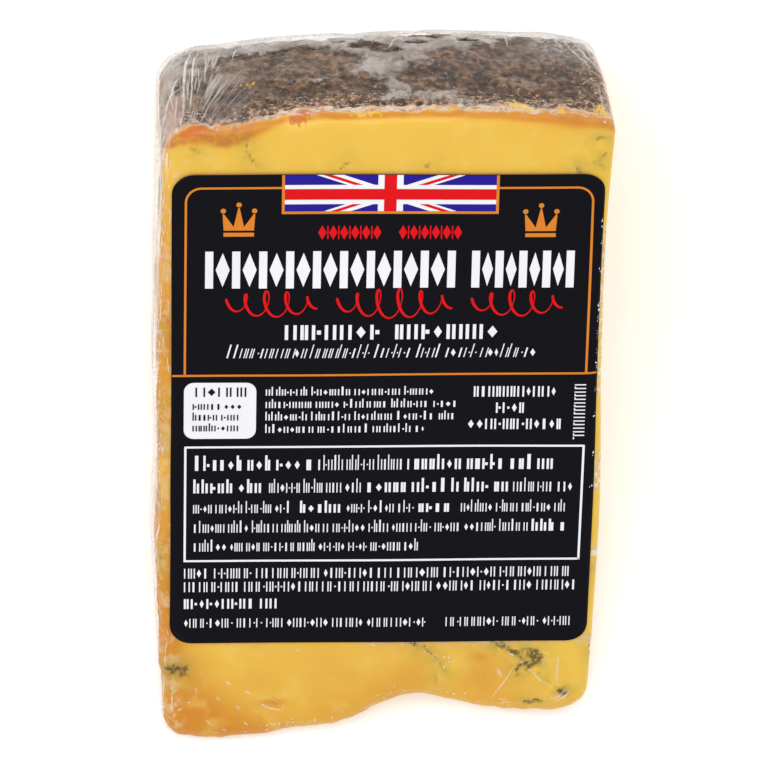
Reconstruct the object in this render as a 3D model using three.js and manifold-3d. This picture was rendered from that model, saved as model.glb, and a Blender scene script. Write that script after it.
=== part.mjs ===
// A wedge of orange blue cheese in clear film, with its paper label, lying on one cut face.
//
// The piece comes from a drum-shaped cheese that was first sliced across into slabs. This is an end slab:
// its left side is the flat end of the drum and its far side is the drum's wall, and both carry rind.
// Two cuts towards the drum's axis make the wedge's large faces. The lower one is what it lies on, and the
// upper one carries the label. The point has crumbled away, which leaves a blunt, wavy tip.
//
// The film is pulled tight, so wedge and film are one solid. The label is a thin sheet on top of it.
// Millimetres, +Z up, +X to the right across the slab, +Y from the tip to the wall's rind.

import * as THREE from "three";
import { ImprovedNoise } from "three/addons/math/ImprovedNoise.js";
import { mergeVertices } from "three/addons/utils/BufferGeometryUtils.js";
import Module from "manifold-3d";

// ---- Driving sizes -------------------------------------------------------------------------------

const drumRadius = 115;
const slabWidth = 66.8;
const wedgeAngle = THREE.MathUtils.degToRad(30);
const halfWidth = slabWidth / 2;

// The four sides as seen from above. `fall` is how far the rind drops short of the drum's radius: it drops
// towards the left, where the drum's wall turns over into its flat end. `reach` is the distance of the
// crumbled tip from the drum's axis, with a bite right of its middle. `bow` is how far the flat end on the
// left and the cut on the right stand out of the slab's width, at distances from the axis.
const rind = {
  across: [-33.4, -29, -24, -16, -6, 10, 20, 29, 33.4],
  fall: [4.1, 2.9, 2.2, 1.3, 0.7, 0.2, 0.5, 1, 1.1],
};
const tip = {
  across: [-33.4, -28, -20, -13, -5, 0, 5, 9, 15, 24, 33.4],
  reach: [7.4, 6.5, 6.7, 8, 8.9, 11, 13.5, 13.9, 12.3, 10.9, 11.1],
};
const leftEnd = {
  radius: [8, 14, 27, 42, 52, 65, 90, 105, 115],
  bow: [-1.4, -1.1, -0.4, 0.2, -0.4, 0, -0.5, -0.8, -0.9],
};
const rightCut = {
  radius: [11, 18, 44, 72, 94, 108, 115],
  bow: [0.1, 0.1, 0.7, 0, -0.1, 1, 1.1],
};

// Rounding of the block's edges, measured into each face.
const edge = { side: 2.4, tip: 3.4, rind: 2.6, cutFace: 1.7, mostOfThickness: 0.92 };

// Relief: height, and the length over which it repeats, of each kind of lump.
const relief = {
  crag: { height: 1, length: 5.2 },
  crumb: { height: 0.4, length: 2.9 },
  swell: { height: 0.35, length: 21 },
  endRind: { height: 0.4, length: 6.5 },
  tipCrumb: { height: 0.5, length: 5.5 },
  cut: { height: 0.22, length: 26 },
};

// How far the base is pressed flat into the surface that it lies on.
const restingDepth = 0.3;

// The label's size, where its middle is on the upper cut face, and the thin gap under it.
const label = { width: 63.4, height: 80.4, corner: 3.2, thickness: 0.3, gap: 0.3, x: 0.7, fromAxis: 64.7 };

// How finely the block is divided: across, from tip to rind, and from the lower cut face to the upper one.
const divisions = { across: 46, along: 20, through: 34 };

// The label's triangles: rings round its middle, and steps on each corner's arc and along each edge.
const labelMesh = { rings: 8, corner: 5, edge: 8 };

// ---- Small helpers -------------------------------------------------------------------------------

const noise = new ImprovedNoise();
const clamp = THREE.MathUtils.clamp;
const smooth = THREE.MathUtils.smoothstep;

function curveThrough(positions, values) {
  const curve = new THREE.CubicInterpolant(positions, values, 1, new Float32Array(1));
  const [first, last] = [positions[0], positions[positions.length - 1]];
  return (at) => curve.evaluate(clamp(at, first, last))[0];
}

// Smooth noise from -1 to 1 whose lumps are about `length` wide. `layer` picks one of many fields.
function lumps(point, length, layer) {
  const at = new THREE.Vector3(17.3, -9.1, 4.7).multiplyScalar(layer).addScaledVector(point, 1 / length);
  return noise.noise(at.x, at.y, at.z);
}

// Places for the grid lines over a length: close together in each rounded end, and the rest evenly spread.
function gridLines(length, count, startRadius, endRadius) {
  const close = [0, 0.2, 0.55, 1];
  const start = close.map((share) => share * startRadius);
  const end = close.map((share) => length - share * endRadius).reverse();
  const between = count + 1 - start.length - end.length;
  const gap = (end[0] - start.at(-1)) / (between + 1);
  const middle = Array.from({ length: between }, (_, i) => start.at(-1) + gap * (i + 1));
  return [...start, ...middle, ...end];
}

// ---- The wedge's surface -------------------------------------------------------------------------

const rindFallAt = curveThrough(rind.across, rind.fall);
const tipReachAt = curveThrough(tip.across, tip.reach);
const leftBowAt = curveThrough(leftEnd.radius, leftEnd.bow);
const rightBowAt = curveThrough(rightCut.radius, rightCut.bow);
const blockLength = drumRadius - Math.min(...tip.reach);

// Distance from the drum's axis at a place across the slab and a length along the block.
function radiusAt(across, along) {
  return THREE.MathUtils.lerp(tipReachAt(across), drumRadius - rindFallAt(across), along / blockLength);
}

// The opposite: the length along the block at a distance from the drum's axis.
function alongAt(across, radius) {
  const reach = tipReachAt(across);
  return (blockLength * (radius - reach)) / (drumRadius - rindFallAt(across) - reach);
}

// The slab's width stretched to its bowed left and right sides: x at a place across, and the opposite.
function bowedX(across, radius) {
  const toRight = (1 + across / halfWidth) / 2;
  return across + toRight * rightBowAt(radius) - (1 - toRight) * leftBowAt(radius);
}

function acrossAt(x, radius) {
  const [left, right] = [leftBowAt(radius), rightBowAt(radius)];
  return (x - (right - left) / 2) / (1 + (right + left) / slabWidth);
}

// Rounds one coordinate's part of an edge: the part inside the core, and how far the rest goes to the face.
function intoCore(value, low, high, lowRadius, highRadius) {
  const core = clamp(value, low + lowRadius, high - highRadius);
  const radius = value < core ? lowRadius : highRadius;
  return { core, radius, out: (value - core) / radius };
}

// How far the surface stands out along its normal, from the direction that it faces in the block.
function reliefAt(point, facing) {
  const toRind = Math.max(facing.y, 0) ** 2;
  const toEnd = Math.max(-facing.x, 0) ** 2;
  const toTip = Math.max(-facing.y, 0) ** 2;
  const toCut = 1 - toRind - toEnd - toTip;
  const crag = smooth(lumps(point, relief.crag.length, 1), -0.25, 0.45) - 0.5;
  const crumb = lumps(point, relief.crumb.length, 2);
  const swell = lumps(point, relief.swell.length, 3);
  const rindHeight = relief.crag.height * crag + relief.crumb.height * crumb + relief.swell.height * swell;
  const endHeight = relief.endRind.height * lumps(point, relief.endRind.length, 4);
  const tipHeight = relief.tipCrumb.height * lumps(point, relief.tipCrumb.length, 5);
  const cutHeight = relief.cut.height * lumps(point, relief.cut.length, 6);
  return toRind * rindHeight + toEnd * endHeight + toTip * tipHeight + Math.max(toCut, 0) * cutHeight;
}

// A point of the finished surface, from block coordinates: millimetres across from the middle, millimetres
// along from the tip, and the share of the thickness from the lower cut face at 0 to the upper one at 1.
function wedgePoint(across, along, through) {
  const halfThickness = (wedgeAngle * radiusAt(across, along)) / 2;
  const thicknessRadius = Math.min(edge.cutFace, edge.mostOfThickness * halfThickness);
  const depth = (2 * through - 1) * halfThickness;
  const x = intoCore(across, -halfWidth, halfWidth, edge.side, edge.side);
  const y = intoCore(along, 0, blockLength, edge.tip, edge.rind);
  const z = intoCore(depth, -halfThickness, halfThickness, thicknessRadius, thicknessRadius);
  const facing = new THREE.Vector3(x.out, y.out, z.out).normalize();
  const roundedAcross = x.core + x.radius * facing.x;
  const roundedDepth = z.core + z.radius * facing.z;
  const radius = radiusAt(roundedAcross, y.core + y.radius * facing.y);
  const angle = (wedgeAngle / 2) * (1 + roundedDepth / halfThickness);
  const point = new THREE.Vector3(0, radius * Math.cos(angle), radius * Math.sin(angle));
  point.x = bowedX(roundedAcross, radius);
  const outward = facing.clone().applyAxisAngle(new THREE.Vector3(1, 0, 0), angle);
  return point.addScaledVector(outward, reliefAt(point, facing));
}

// ---- The solids ----------------------------------------------------------------------------------

// A block of grid lines with every vertex moved onto the wedge's surface.
function wedgeGeometry() {
  const lines = {
    x: gridLines(slabWidth, divisions.across, edge.side, edge.side),
    y: gridLines(blockLength, divisions.along, edge.tip, edge.rind),
    z: gridLines(1, divisions.through, 0.05, 0.05),
  };
  const block = new THREE.BoxGeometry(1, 1, 1, divisions.across, divisions.along, divisions.through);
  block.deleteAttribute("normal");
  block.deleteAttribute("uv");
  const geometry = mergeVertices(block);
  const place = geometry.attributes.position;
  for (let i = 0; i < place.count; i++) {
    const column = Math.round((place.getX(i) + 0.5) * divisions.across);
    const row = Math.round((place.getY(i) + 0.5) * divisions.along);
    const layer = Math.round((place.getZ(i) + 0.5) * divisions.through);
    const point = wedgePoint(lines.x[column] - halfWidth, lines.y[row], lines.z[layer]);
    place.setXYZ(i, point.x, point.y, point.z);
  }
  return geometry;
}

// The wedge's upper cut face at an x and a distance from the axis, lifted off it by `height`.
function onCutFace(x, radius, height) {
  const step = 0.4;
  const at = (dx, dr) => {
    const across = acrossAt(x + dx, radius + dr);
    return wedgePoint(across, alongAt(across, radius + dr), 1);
  };
  const right = at(step, 0).sub(at(-step, 0));
  const up = at(0, step).sub(at(0, -step));
  return at(0, 0).addScaledVector(right.cross(up).normalize(), height);
}

// Places from 0 up to, but not at, 1.
const steps = (count) => Array.from({ length: count }, (_, i) => i / count);

// The label's outline as points from its middle, anticlockwise: each corner's arc and the edge after it.
function labelOutline() {
  const centre = new THREE.Vector2(label.width / 2 - label.corner, label.height / 2 - label.corner);
  const signs = [[1, 1], [-1, 1], [-1, -1], [1, -1]];
  const onArc = (quarter, share) => {
    const corner = new THREE.Vector2(signs[quarter % 4][0] * centre.x, signs[quarter % 4][1] * centre.y);
    const angle = (Math.PI / 2) * (quarter + share);
    return corner.add(new THREE.Vector2(Math.cos(angle), Math.sin(angle)).multiplyScalar(label.corner));
  };
  return signs.flatMap((_, quarter) => {
    const arc = steps(labelMesh.corner).map((share) => onArc(quarter, share));
    const [from, to] = [onArc(quarter, 1), onArc(quarter + 1, 0)];
    return [...arc, ...steps(labelMesh.edge).map((share) => from.clone().lerp(to, share))];
  });
}

// Rings from the label's middle out to its edge, once for its back and once for its front, sewn at the rim.
function labelGeometry() {
  const outline = labelOutline();
  const around = outline.length;
  const rings = labelMesh.rings;
  const points = [];
  for (const height of [label.gap, label.gap + label.thickness]) {
    points.push(onCutFace(label.x, label.fromAxis, height));
    for (let ring = 1; ring <= rings; ring++) {
      const share = Math.sin((Math.PI / 2) * (ring / rings));
      for (const { x, y } of outline) {
        points.push(onCutFace(label.x + share * x, label.fromAxis + share * y, height));
      }
    }
  }
  const side = 1 + rings * around;
  const at = (face, ring, spoke) => face * side + (ring ? 1 + (ring - 1) * around + (spoke % around) : 0);
  const triangles = [];
  for (const face of [0, 1]) {
    const add = (a, b, c) => triangles.push(...(face ? [a, b, c] : [a, c, b]));
    for (let spoke = 0; spoke < around; spoke++) {
      add(at(face, 0, 0), at(face, 1, spoke), at(face, 1, spoke + 1));
      for (let ring = 1; ring < rings; ring++) {
        add(at(face, ring, spoke), at(face, ring + 1, spoke), at(face, ring + 1, spoke + 1));
        add(at(face, ring, spoke), at(face, ring + 1, spoke + 1), at(face, ring, spoke + 1));
      }
    }
  }
  for (let spoke = 0; spoke < around; spoke++) {
    const [low, lowNext] = [at(0, rings, spoke), at(0, rings, spoke + 1)];
    const [high, highNext] = [at(1, rings, spoke), at(1, rings, spoke + 1)];
    triangles.push(low, lowNext, highNext, low, highNext, high);
  }
  return new THREE.BufferGeometry().setFromPoints(points).setIndex(triangles);
}

function toManifold(geometry, wasm) {
  const vertProperties = geometry.attributes.position.array;
  const triVerts = new Uint32Array(geometry.index.array);
  return new wasm.Manifold(new wasm.Mesh({ numProp: 3, vertProperties, triVerts }));
}

// Cuts off what lies below the resting surface, so that the base is one flat face.
function pressedFlat(geometry, wasm) {
  const room = new THREE.BoxGeometry(4 * drumRadius, 4 * drumRadius, 4 * drumRadius);
  room.deleteAttribute("normal");
  room.deleteAttribute("uv");
  const above = mergeVertices(room).translate(0, 0, 2 * drumRadius + restingDepth);
  const mesh = toManifold(geometry, wasm).intersect(toManifold(above, wasm)).getMesh();
  return new THREE.BufferGeometry()
    .setAttribute("position", new THREE.BufferAttribute(mesh.vertProperties, 3))
    .setIndex(new THREE.BufferAttribute(mesh.triVerts, 1));
}

// ---- The object ----------------------------------------------------------------------------------

const wasm = await Module();
wasm.setup();

const cheeseInFilm = new THREE.Mesh(
  pressedFlat(wedgeGeometry(), wasm),
  new THREE.MeshStandardMaterial({ color: 0xe6ab3c, roughness: 0.35, metalness: 0 }),
);
cheeseInFilm.name = "cheese_in_film";

const paperLabel = new THREE.Mesh(
  labelGeometry(),
  new THREE.MeshStandardMaterial({ color: 0x15151a, roughness: 0.4, metalness: 0 }),
);
paperLabel.name = "label";

// The origin is the middle of the flat base's bounding box.
const bounds = new THREE.Box3().setFromObject(cheeseInFilm);
const middle = bounds.getCenter(new THREE.Vector3());
const wedge = new THREE.Group().add(cheeseInFilm, paperLabel);
wedge.position.set(-middle.x, -middle.y, -bounds.min.z);

export default new THREE.Group().add(wedge);
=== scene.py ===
# %% [markdown]
# # A wedge of orange blue cheese in clear film
#
# The real thing is a piece cut from a drum-shaped cheese, wrapped tight in clear stretch film, with a dark
# paper label stuck on top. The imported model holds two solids: the wedge in its film and the label. This
# lesson keeps their form and makes the looks: the cheese with its veins and craggy rind, the film as a
# skin of its own round it, and the label with its print.
#
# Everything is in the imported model's frame, so nothing has to be fitted afterwards. Lengths are written in
# millimetres, because that is how a cheese is measured, and turned into metres when a mesh is made.

# %% The fixed frame
import math

import bpy
import numpy as np
from mathutils import Matrix, Vector, noise
from mathutils.bvhtree import BVHTree


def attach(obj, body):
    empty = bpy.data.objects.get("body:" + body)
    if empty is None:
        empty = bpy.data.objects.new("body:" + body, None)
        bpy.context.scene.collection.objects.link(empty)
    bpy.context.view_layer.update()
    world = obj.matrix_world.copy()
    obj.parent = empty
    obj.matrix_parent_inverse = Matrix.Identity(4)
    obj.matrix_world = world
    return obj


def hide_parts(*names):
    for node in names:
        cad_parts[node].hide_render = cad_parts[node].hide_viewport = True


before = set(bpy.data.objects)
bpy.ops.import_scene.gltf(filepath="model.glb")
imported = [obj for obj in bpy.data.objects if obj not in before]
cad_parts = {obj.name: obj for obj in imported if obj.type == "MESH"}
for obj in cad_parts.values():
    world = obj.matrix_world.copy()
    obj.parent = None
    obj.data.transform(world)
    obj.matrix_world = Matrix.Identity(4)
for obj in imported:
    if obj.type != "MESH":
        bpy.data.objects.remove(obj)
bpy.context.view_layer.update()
MM = 0.001

# %% [markdown]
# ## The wedge as one formula
#
# A cut cheese could be modelled by hand, or by cutting a cylinder. Here one formula turns places in a plain
# block into points of the wedge's skin: across the slab, along from tip to rind, and through from the lower
# cut face to the upper one. Cheese, film and label all use it, so they fit each other to a hair, and each
# vertex knows how deep it lies under the rind, which the materials need later.

# %% The wedge's driving sizes, in mm from the axis of the drum it was cut from
DRUM_RADIUS = 115.0
SLAB_WIDTH = 66.8
HALF_WIDTH = SLAB_WIDTH / 2
WEDGE_ANGLE = math.radians(30)
AXIS = np.array([-0.4, -60.57, -0.3])  # a point of the drum's axis in the model's frame
EDGE = {"side": 2.4, "tip": 3.4, "rind": 2.6, "cut_face": 1.7, "most_of_thickness": 0.92}


def curve_through(places, values):
    """A smooth curve through a few values, as a function that takes and gives arrays."""
    places, values = np.array(places, float), np.array(values, float)
    slopes = np.gradient(values, places)

    def at(x):
        x = np.clip(x, places[0], places[-1])
        i = np.clip(np.searchsorted(places, x) - 1, 0, len(places) - 2)
        step = places[i + 1] - places[i]
        t = (x - places[i]) / step
        start = values[i] * (1 + 2 * t) * (1 - t) ** 2 + slopes[i] * step * t * (1 - t) ** 2
        return start + values[i + 1] * t * t * (3 - 2 * t) + slopes[i + 1] * step * t * t * (t - 1)

    return at


# How far the rind falls short of the drum's radius, across the slab: it turns over towards the left end.
rind_fall = curve_through(
    [-33.4, -29, -24, -16, -6, 10, 20, 29, 33.4],
    [5.0, 2.9, 2.2, 1.3, 0.7, 0.2, 0.5, 1, 1.9],
)
# How far the crumbled tip is from the axis, with a bite right of its middle.
tip_reach = curve_through(
    [-33.4, -28, -20, -13, -5, 0, 3, 9, 12, 15, 24, 29.5, 33.4],
    [7.3, 6.4, 6.6, 7.9, 9.1, 11.9, 13.4, 13.5, 12.8, 12.1, 10.8, 11.0, 12.3],
)
NEAREST_TIP = 6.5
BLOCK_LENGTH = DRUM_RADIUS - NEAREST_TIP
# How far the left end and the right cut stand out of the slab's width, from tip to rind.
left_bow = curve_through(
    [8, 14, 27, 42, 52, 65, 90, 105, 115],
    [-1.4, -1.1, -0.4, 0.2, -0.4, 0, -0.5, -0.8, -0.9],
)
right_bow = curve_through([11, 18, 44, 72, 94, 108, 115], [-0.2, 0.1, 0.7, 0, -0.1, 0.5, 0.9])
print("rind at the left edge is", round(DRUM_RADIUS - float(rind_fall(-33.4)), 1), "mm from the axis")


# %% From block to wedge
def radius_at(across, along):
    """Distance from the drum's axis."""
    reach = tip_reach(across)
    return reach + (DRUM_RADIUS - rind_fall(across) - reach) * along / BLOCK_LENGTH


def along_at(across, radius):
    """The opposite: how far along the block a distance from the axis is."""
    reach = tip_reach(across)
    return BLOCK_LENGTH * (radius - reach) / (DRUM_RADIUS - rind_fall(across) - reach)


def across_at(x, radius):
    """Takes the bowed sides out of an x, so that it can go into the formula."""
    left, right = left_bow(radius), right_bow(radius)
    return (x - (right - left) / 2) / (1 + (right + left) / SLAB_WIDTH)


def into_core(value, low, high, low_radius, high_radius):
    """Splits a place into its part inside the rounded edges and how far it goes out from there, 0 to 1."""
    core = np.clip(value, low + low_radius, high - high_radius)
    radius = np.where(value < core, low_radius, high_radius)
    return core, radius, (value - core) / radius


def wedge_skin(across, along, through):
    """Points of the smooth skin and what else is known there, from arrays of block places."""
    half = WEDGE_ANGLE * radius_at(across, along) / 2
    cut_radius = np.minimum(EDGE["cut_face"], EDGE["most_of_thickness"] * half)
    x, x_radius, x_out = into_core(across, -HALF_WIDTH, HALF_WIDTH, EDGE["side"], EDGE["side"])
    y, y_radius, y_out = into_core(along, 0, BLOCK_LENGTH, EDGE["tip"], EDGE["rind"])
    z, z_radius, z_out = into_core((2 * through - 1) * half, -half, half, cut_radius, cut_radius)
    facing = np.stack([x_out, y_out, z_out], axis=1)
    facing /= np.linalg.norm(facing, axis=1, keepdims=True)
    across, y, z = x + x_radius * facing[:, 0], y + y_radius * facing[:, 1], z + z_radius * facing[:, 2]
    radius = radius_at(across, y)
    angle = WEDGE_ANGLE / 2 * (1 + z / half)
    to_right = (1 + across / HALF_WIDTH) / 2
    point_x = across + to_right * right_bow(radius) - (1 - to_right) * left_bow(radius)
    points = np.stack([point_x, radius * np.cos(angle), radius * np.sin(angle)], axis=1)
    outward = np.stack(
        [
            facing[:, 0],
            facing[:, 1] * np.cos(angle) - facing[:, 2] * np.sin(angle),
            facing[:, 1] * np.sin(angle) + facing[:, 2] * np.cos(angle),
        ],
        axis=1,
    )
    return {
        "points": points,
        "outward": outward,
        "facing": facing,
        "radius": radius,
        "angle": angle,
        "across": across,
    }


# %% [markdown]
# ## Lumps
#
# Cheese is never smooth. Texture alone would give a lumpy colour on a flat face, so the lumps are in the
# mesh: smooth noise moves each vertex in or out. Noise of one size looks like dough, so each surface gets
# two or three sizes, and `smooth_step` turns soft noise into crags with flat tops and steep sides.


# %% Noise and steps for arrays
def lumps(points, size, layer):
    """Smooth noise from about -1 to 1, with lumps of that size in mm. Each layer is another pattern."""
    shifted = points / size + np.array([17.3, -9.1, 4.7]) * layer
    return np.array([noise.noise(p) for p in shifted.tolist()])


def smooth_step(value, low, high):
    """From 0 at low to 1 at high, with soft ends. Low may be the larger of the two."""
    t = np.clip((value - low) / (high - low), 0, 1)
    return t * t * (3 - 2 * t)


def swelling(points):
    """The long low waves that the knife leaves in a cut face. Film and label follow them too."""
    return 0.2 * lumps(points, 26, 6)


# %% [markdown]
# ## One grid for cheese and film
#
# Both skins are made on the same grid of lines round the block. The lines are close where the eye looks
# closely, at the tip, along the rind and over the rounded edges, and wide under the label. Because both
# meshes have the same vertices in the same order, the gap between film and cheese is one subtraction.


# %% The grid
def line_places(spans):
    """Places of the grid lines from 0 on: each span is where it ends and how wide its steps are."""
    places = [0.0]
    for end, step in spans:
        count = max(1, round((end - places[-1]) / step))
        places += list(np.linspace(places[-1], end, count + 1)[1:])
    return np.array(places)


MOST_UNDER_LABEL = (20, 98)  # places along the block between which most of the skin is out of sight
lines_across = line_places([(EDGE["side"], 0.4), (SLAB_WIDTH - EDGE["side"], 0.5), (SLAB_WIDTH, 0.4)])
lines_across -= HALF_WIDTH
lines_along = line_places(
    [
        (EDGE["tip"], 0.45),
        (MOST_UNDER_LABEL[0], 0.5),
        (MOST_UNDER_LABEL[1], 1.35),
        (BLOCK_LENGTH - EDGE["rind"], 0.5),
        (BLOCK_LENGTH, 0.4),
    ]
)
lines_through = line_places([(0.03, 0.005), (0.97, 0.0105), (1, 0.005)])  # shares of the thickness


def block_grid():
    """Every vertex on the block's six sides, as line numbers, and the quads between them."""
    counts = [len(lines_across) - 1, len(lines_along) - 1, len(lines_through) - 1]
    corners = []
    for axis in range(3):
        first, second = [(1, 2), (2, 0), (0, 1)][axis]
        i, j = np.meshgrid(np.arange(counts[first]), np.arange(counts[second]), indexing="ij")
        for side in (0, 1):
            steps = [(0, 0), (1, 0), (1, 1), (0, 1)] if side else [(0, 0), (0, 1), (1, 1), (1, 0)]
            quads = np.zeros((i.size, 4, 3), int)
            for corner, (di, dj) in enumerate(steps):
                quads[:, corner, axis] = side * counts[axis]
                quads[:, corner, first] = i.ravel() + di
                quads[:, corner, second] = j.ravel() + dj
            corners.append(quads)
    corners = np.concatenate(corners)
    vertices, index = np.unique(corners.reshape(-1, 3), axis=0, return_inverse=True)
    return vertices, index.reshape(-1, 4)


grid_vertices, grid_quads = block_grid()
skin = wedge_skin(
    lines_across[grid_vertices[:, 0]],
    lines_along[grid_vertices[:, 1]],
    lines_through[grid_vertices[:, 2]],
)
print("skin grid:", len(grid_vertices), "vertices,", len(grid_quads), "quads")

# %% [markdown]
# ## The cheese's own shape
#
# The drum's wall has a dry crust that stands in crags a few millimetres across, with crumbs on them and
# pits between. Its flat end is pitted but flatter. The cut faces are smooth from the knife, and the tip
# broke rather than being cut. Each of these is noise of its own, weighted by which way the skin faces.

# %% Which surface each vertex belongs to
wall_share = np.clip(skin["facing"][:, 1], 0, 1) ** 2
end_share = np.clip(-skin["facing"][:, 0], 0, 1) ** 2
tip_share = np.clip(-skin["facing"][:, 1], 0, 1) ** 2
cut_share = np.clip(1 - wall_share - end_share - tip_share, 0, 1)
places = skin["points"]
print("vertices on the wall:", int((wall_share > 0.5).sum()), "and on the tip:", int((tip_share > 0.5).sum()))

# %% Crags, pits and crumbs
# Heights in mm times lumps, whose sizes are in mm too.
standing = places * np.array([1, 1, 0.5])  # the crags are taller than wide
crag = smooth_step(lumps(standing, 2.4, 1) + 0.5 * lumps(standing, 1.2, 2), -0.35, 0.4) - 0.5
crag_big = lumps(standing, 5.0, 3)
crumb = lumps(standing, 0.9, 4)
wall_height = 0.42 * crag + 0.22 * crag_big + 0.14 * crumb
end_height = 0.3 * lumps(places, 3.2, 7) + 0.16 * lumps(places, 1.4, 8)
tip_height = 0.4 * lumps(places, 4.2, 9) + 0.2 * lumps(places, 1.7, 10)
cut_height = swelling(places) + 0.03 * lumps(places, 2.2, 11)
print("crags stand", round(float(np.ptp(wall_height[wall_share > 0.9])), 1), "mm from pit to peak")

# %% [markdown]
# ## Where the rind begins
#
# The crust's edge is ragged, so it can't follow one line of the mesh. Instead each vertex stores how far it
# is past the arris: more than nothing on the wall, less than nothing on a cut face. The materials add noise
# to that distance and change colour where it passes a limit, which gives a ragged edge as fine as wanted.

# %% Distance past the arris, in mm
CRUST_AT_RIGHT = 1.2  # the most of it that the cut at the right leaves
END_RIND_INSET = 0.9  # how far inside the arrises the flat end's rind begins
below_upper = skin["radius"] * np.sin(WEDGE_ANGLE - skin["angle"])
above_lower = skin["radius"] * np.sin(skin["angle"])
inside_right = HALF_WIDTH - skin["across"]
under_wall = DRUM_RADIUS - rind_fall(skin["across"]) - skin["radius"]
under_end = HALF_WIDTH + skin["across"]
# The cut took some of the crust's edge away, most of it near the two ends.
crust_lost = curve_through(
    [-33.4, -31, -27.5, -24, -21, -18.5, -16, -12, -5, 10, 19, 28, 33.4],
    [2.3, 2.3, 1.6, 0.4, 0.9, 1.8, 2.7, 3.5, 3.2, 2.9, 2.7, 3.0, 2.8],
)(skin["across"])
onto_wall = np.minimum(np.minimum(below_upper - crust_lost, above_lower), inside_right + CRUST_AT_RIGHT)
onto_wall -= under_wall
onto_end = np.minimum(0.0, np.minimum(below_upper, above_lower) - END_RIND_INSET) - under_end
print("furthest onto the wall:", round(float(onto_wall.max()), 1), "mm")

# %% [markdown]
# ## Veins
#
# Blue mould grows along the cracks that the maker's needles and the curd's own gaps leave, so a vein is a
# short broken line in a small dent, with a greenish shade round it. The ones that show on the upper face
# are placed one by one. The faces that don't show in the picture get some of the same kind from a seeded
# random walk. Each vertex then stores how close it is to a vein, and the material adds the ragged edge.


# %% Veins that show
def on_upper_face(x, radius):
    """A point of the upper cut face, from x and the distance from the drum's axis."""
    return np.array([x, radius * math.cos(WEDGE_ANGLE), radius * math.sin(WEDGE_ANGLE)])


# Each vein is its points on the upper face (x, distance from the axis), its width and its strength.
SHOWN_VEINS = [
    ([(-33.4, 18.9), (-31.7, 19.4), (-30.2, 19.3), (-28.6, 19.6)], 0.72, 1.0),
    ([(-31.8, 18.8), (-31.0, 19.5), (-30.4, 20.2)], 0.3, 0.7),
    ([(-29.9, 19.9), (-29.0, 19.2)], 0.8, 1.0),
    ([(-33.2, 17.6), (-32.0, 16.6)], 0.35, 0.5),
    ([(18.0, 25.6), (18.4, 24.2), (20.0, 23.0), (21.3, 22.4), (22.3, 21.6), (23.1, 20.9)], 0.36, 0.95),
    ([(19.3, 24.8), (20.4, 23.6), (20.9, 22.8)], 0.28, 0.7),
    (
        [(22, 21.5), (23.3, 22.5), (25.1, 22.3), (25.9, 21.3), (25.4, 20.3), (24.4, 19.8), (23.7, 19.2)],
        0.4,
        0.95,
    ),
    ([(24.0, 21.7), (24.8, 20.9)], 0.5, 0.95),
    ([(22.2, 19.1), (22.8, 19.9), (23.9, 20.2)], 0.42, 0.95),
    ([(22.6, 18.6), (22.1, 17.7)], 0.3, 0.5),
    ([(25.0, 18.8), (26.3, 17.9), (27.4, 16.7), (28.4, 15.9)], 0.22, 0.5),
    ([(28.7, 15.0), (29.4, 15.6), (29.9, 15.0), (29.2, 14.5)], 0.45, 0.8),
    ([(23.6, 13.2), (24.6, 13.0), (26.3, 13.1)], 0.36, 0.7),
    ([(25.0, 13.7), (25.8, 13.3)], 0.3, 0.6),
    ([(5.0, 25.4), (5.4, 24.4), (6.8, 23.6)], 0.36, 0.85),
    ([(7.6, 23.6), (8.8, 22.2), (9.9, 20.8), (10.6, 19.8), (11.3, 19.2)], 0.27, 0.8),
    ([(10.6, 19.8), (9.8, 19.0)], 0.25, 0.6),
    ([(9.9, 16.8), (9.7, 18.0)], 0.5, 0.35),
    ([(-28.3, 108.8), (-27.0, 108.4)], 0.6, 0.4),
    ([(-20.2, 109.5), (-19.9, 107.9), (-19.2, 106.8)], 0.2, 0.75),
    ([(-6.3, 105.6), (-5.4, 106.7)], 0.45, 0.4),
    ([(6.0, 105.9), (7.2, 106.5)], 0.5, 0.3),
    ([(28.2, 105.9), (28.6, 105.5), (28.9, 104.5)], 0.26, 0.75),
    ([(31.0, 110.5), (32.0, 110.7), (33.4, 110.2)], 0.4, 0.5),
    ([(30.9, 106.4), (31.6, 106.9), (32.6, 107.9)], 0.6, 0.32),
    ([(31.4, 106.8), (31.9, 105.6), (33.4, 105.9)], 0.5, 0.3),
    ([(-33.4, 79.0), (-32.8, 78.2), (-32.9, 77.0)], 0.4, 0.85),
    ([(-33.3, 66.6), (-32.9, 65.4)], 0.35, 0.6),
    ([(-33.3, 50.6), (-32.8, 49.2)], 0.4, 0.6),
    ([(33.2, 38.6), (32.9, 37.0), (33.3, 35.4)], 0.4, 0.6),
    ([(-33.3, 60.4), (-32.4, 59.0)], 0.5, 0.75),
    ([(-33.2, 40.2), (-32.4, 39.0)], 0.5, 0.8),
    ([(-33.4, 36.8), (-32.7, 35.7)], 0.4, 0.6),
    ([(33.4, 54.0), (32.9, 52.6)], 0.4, 0.5),
]
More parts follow.
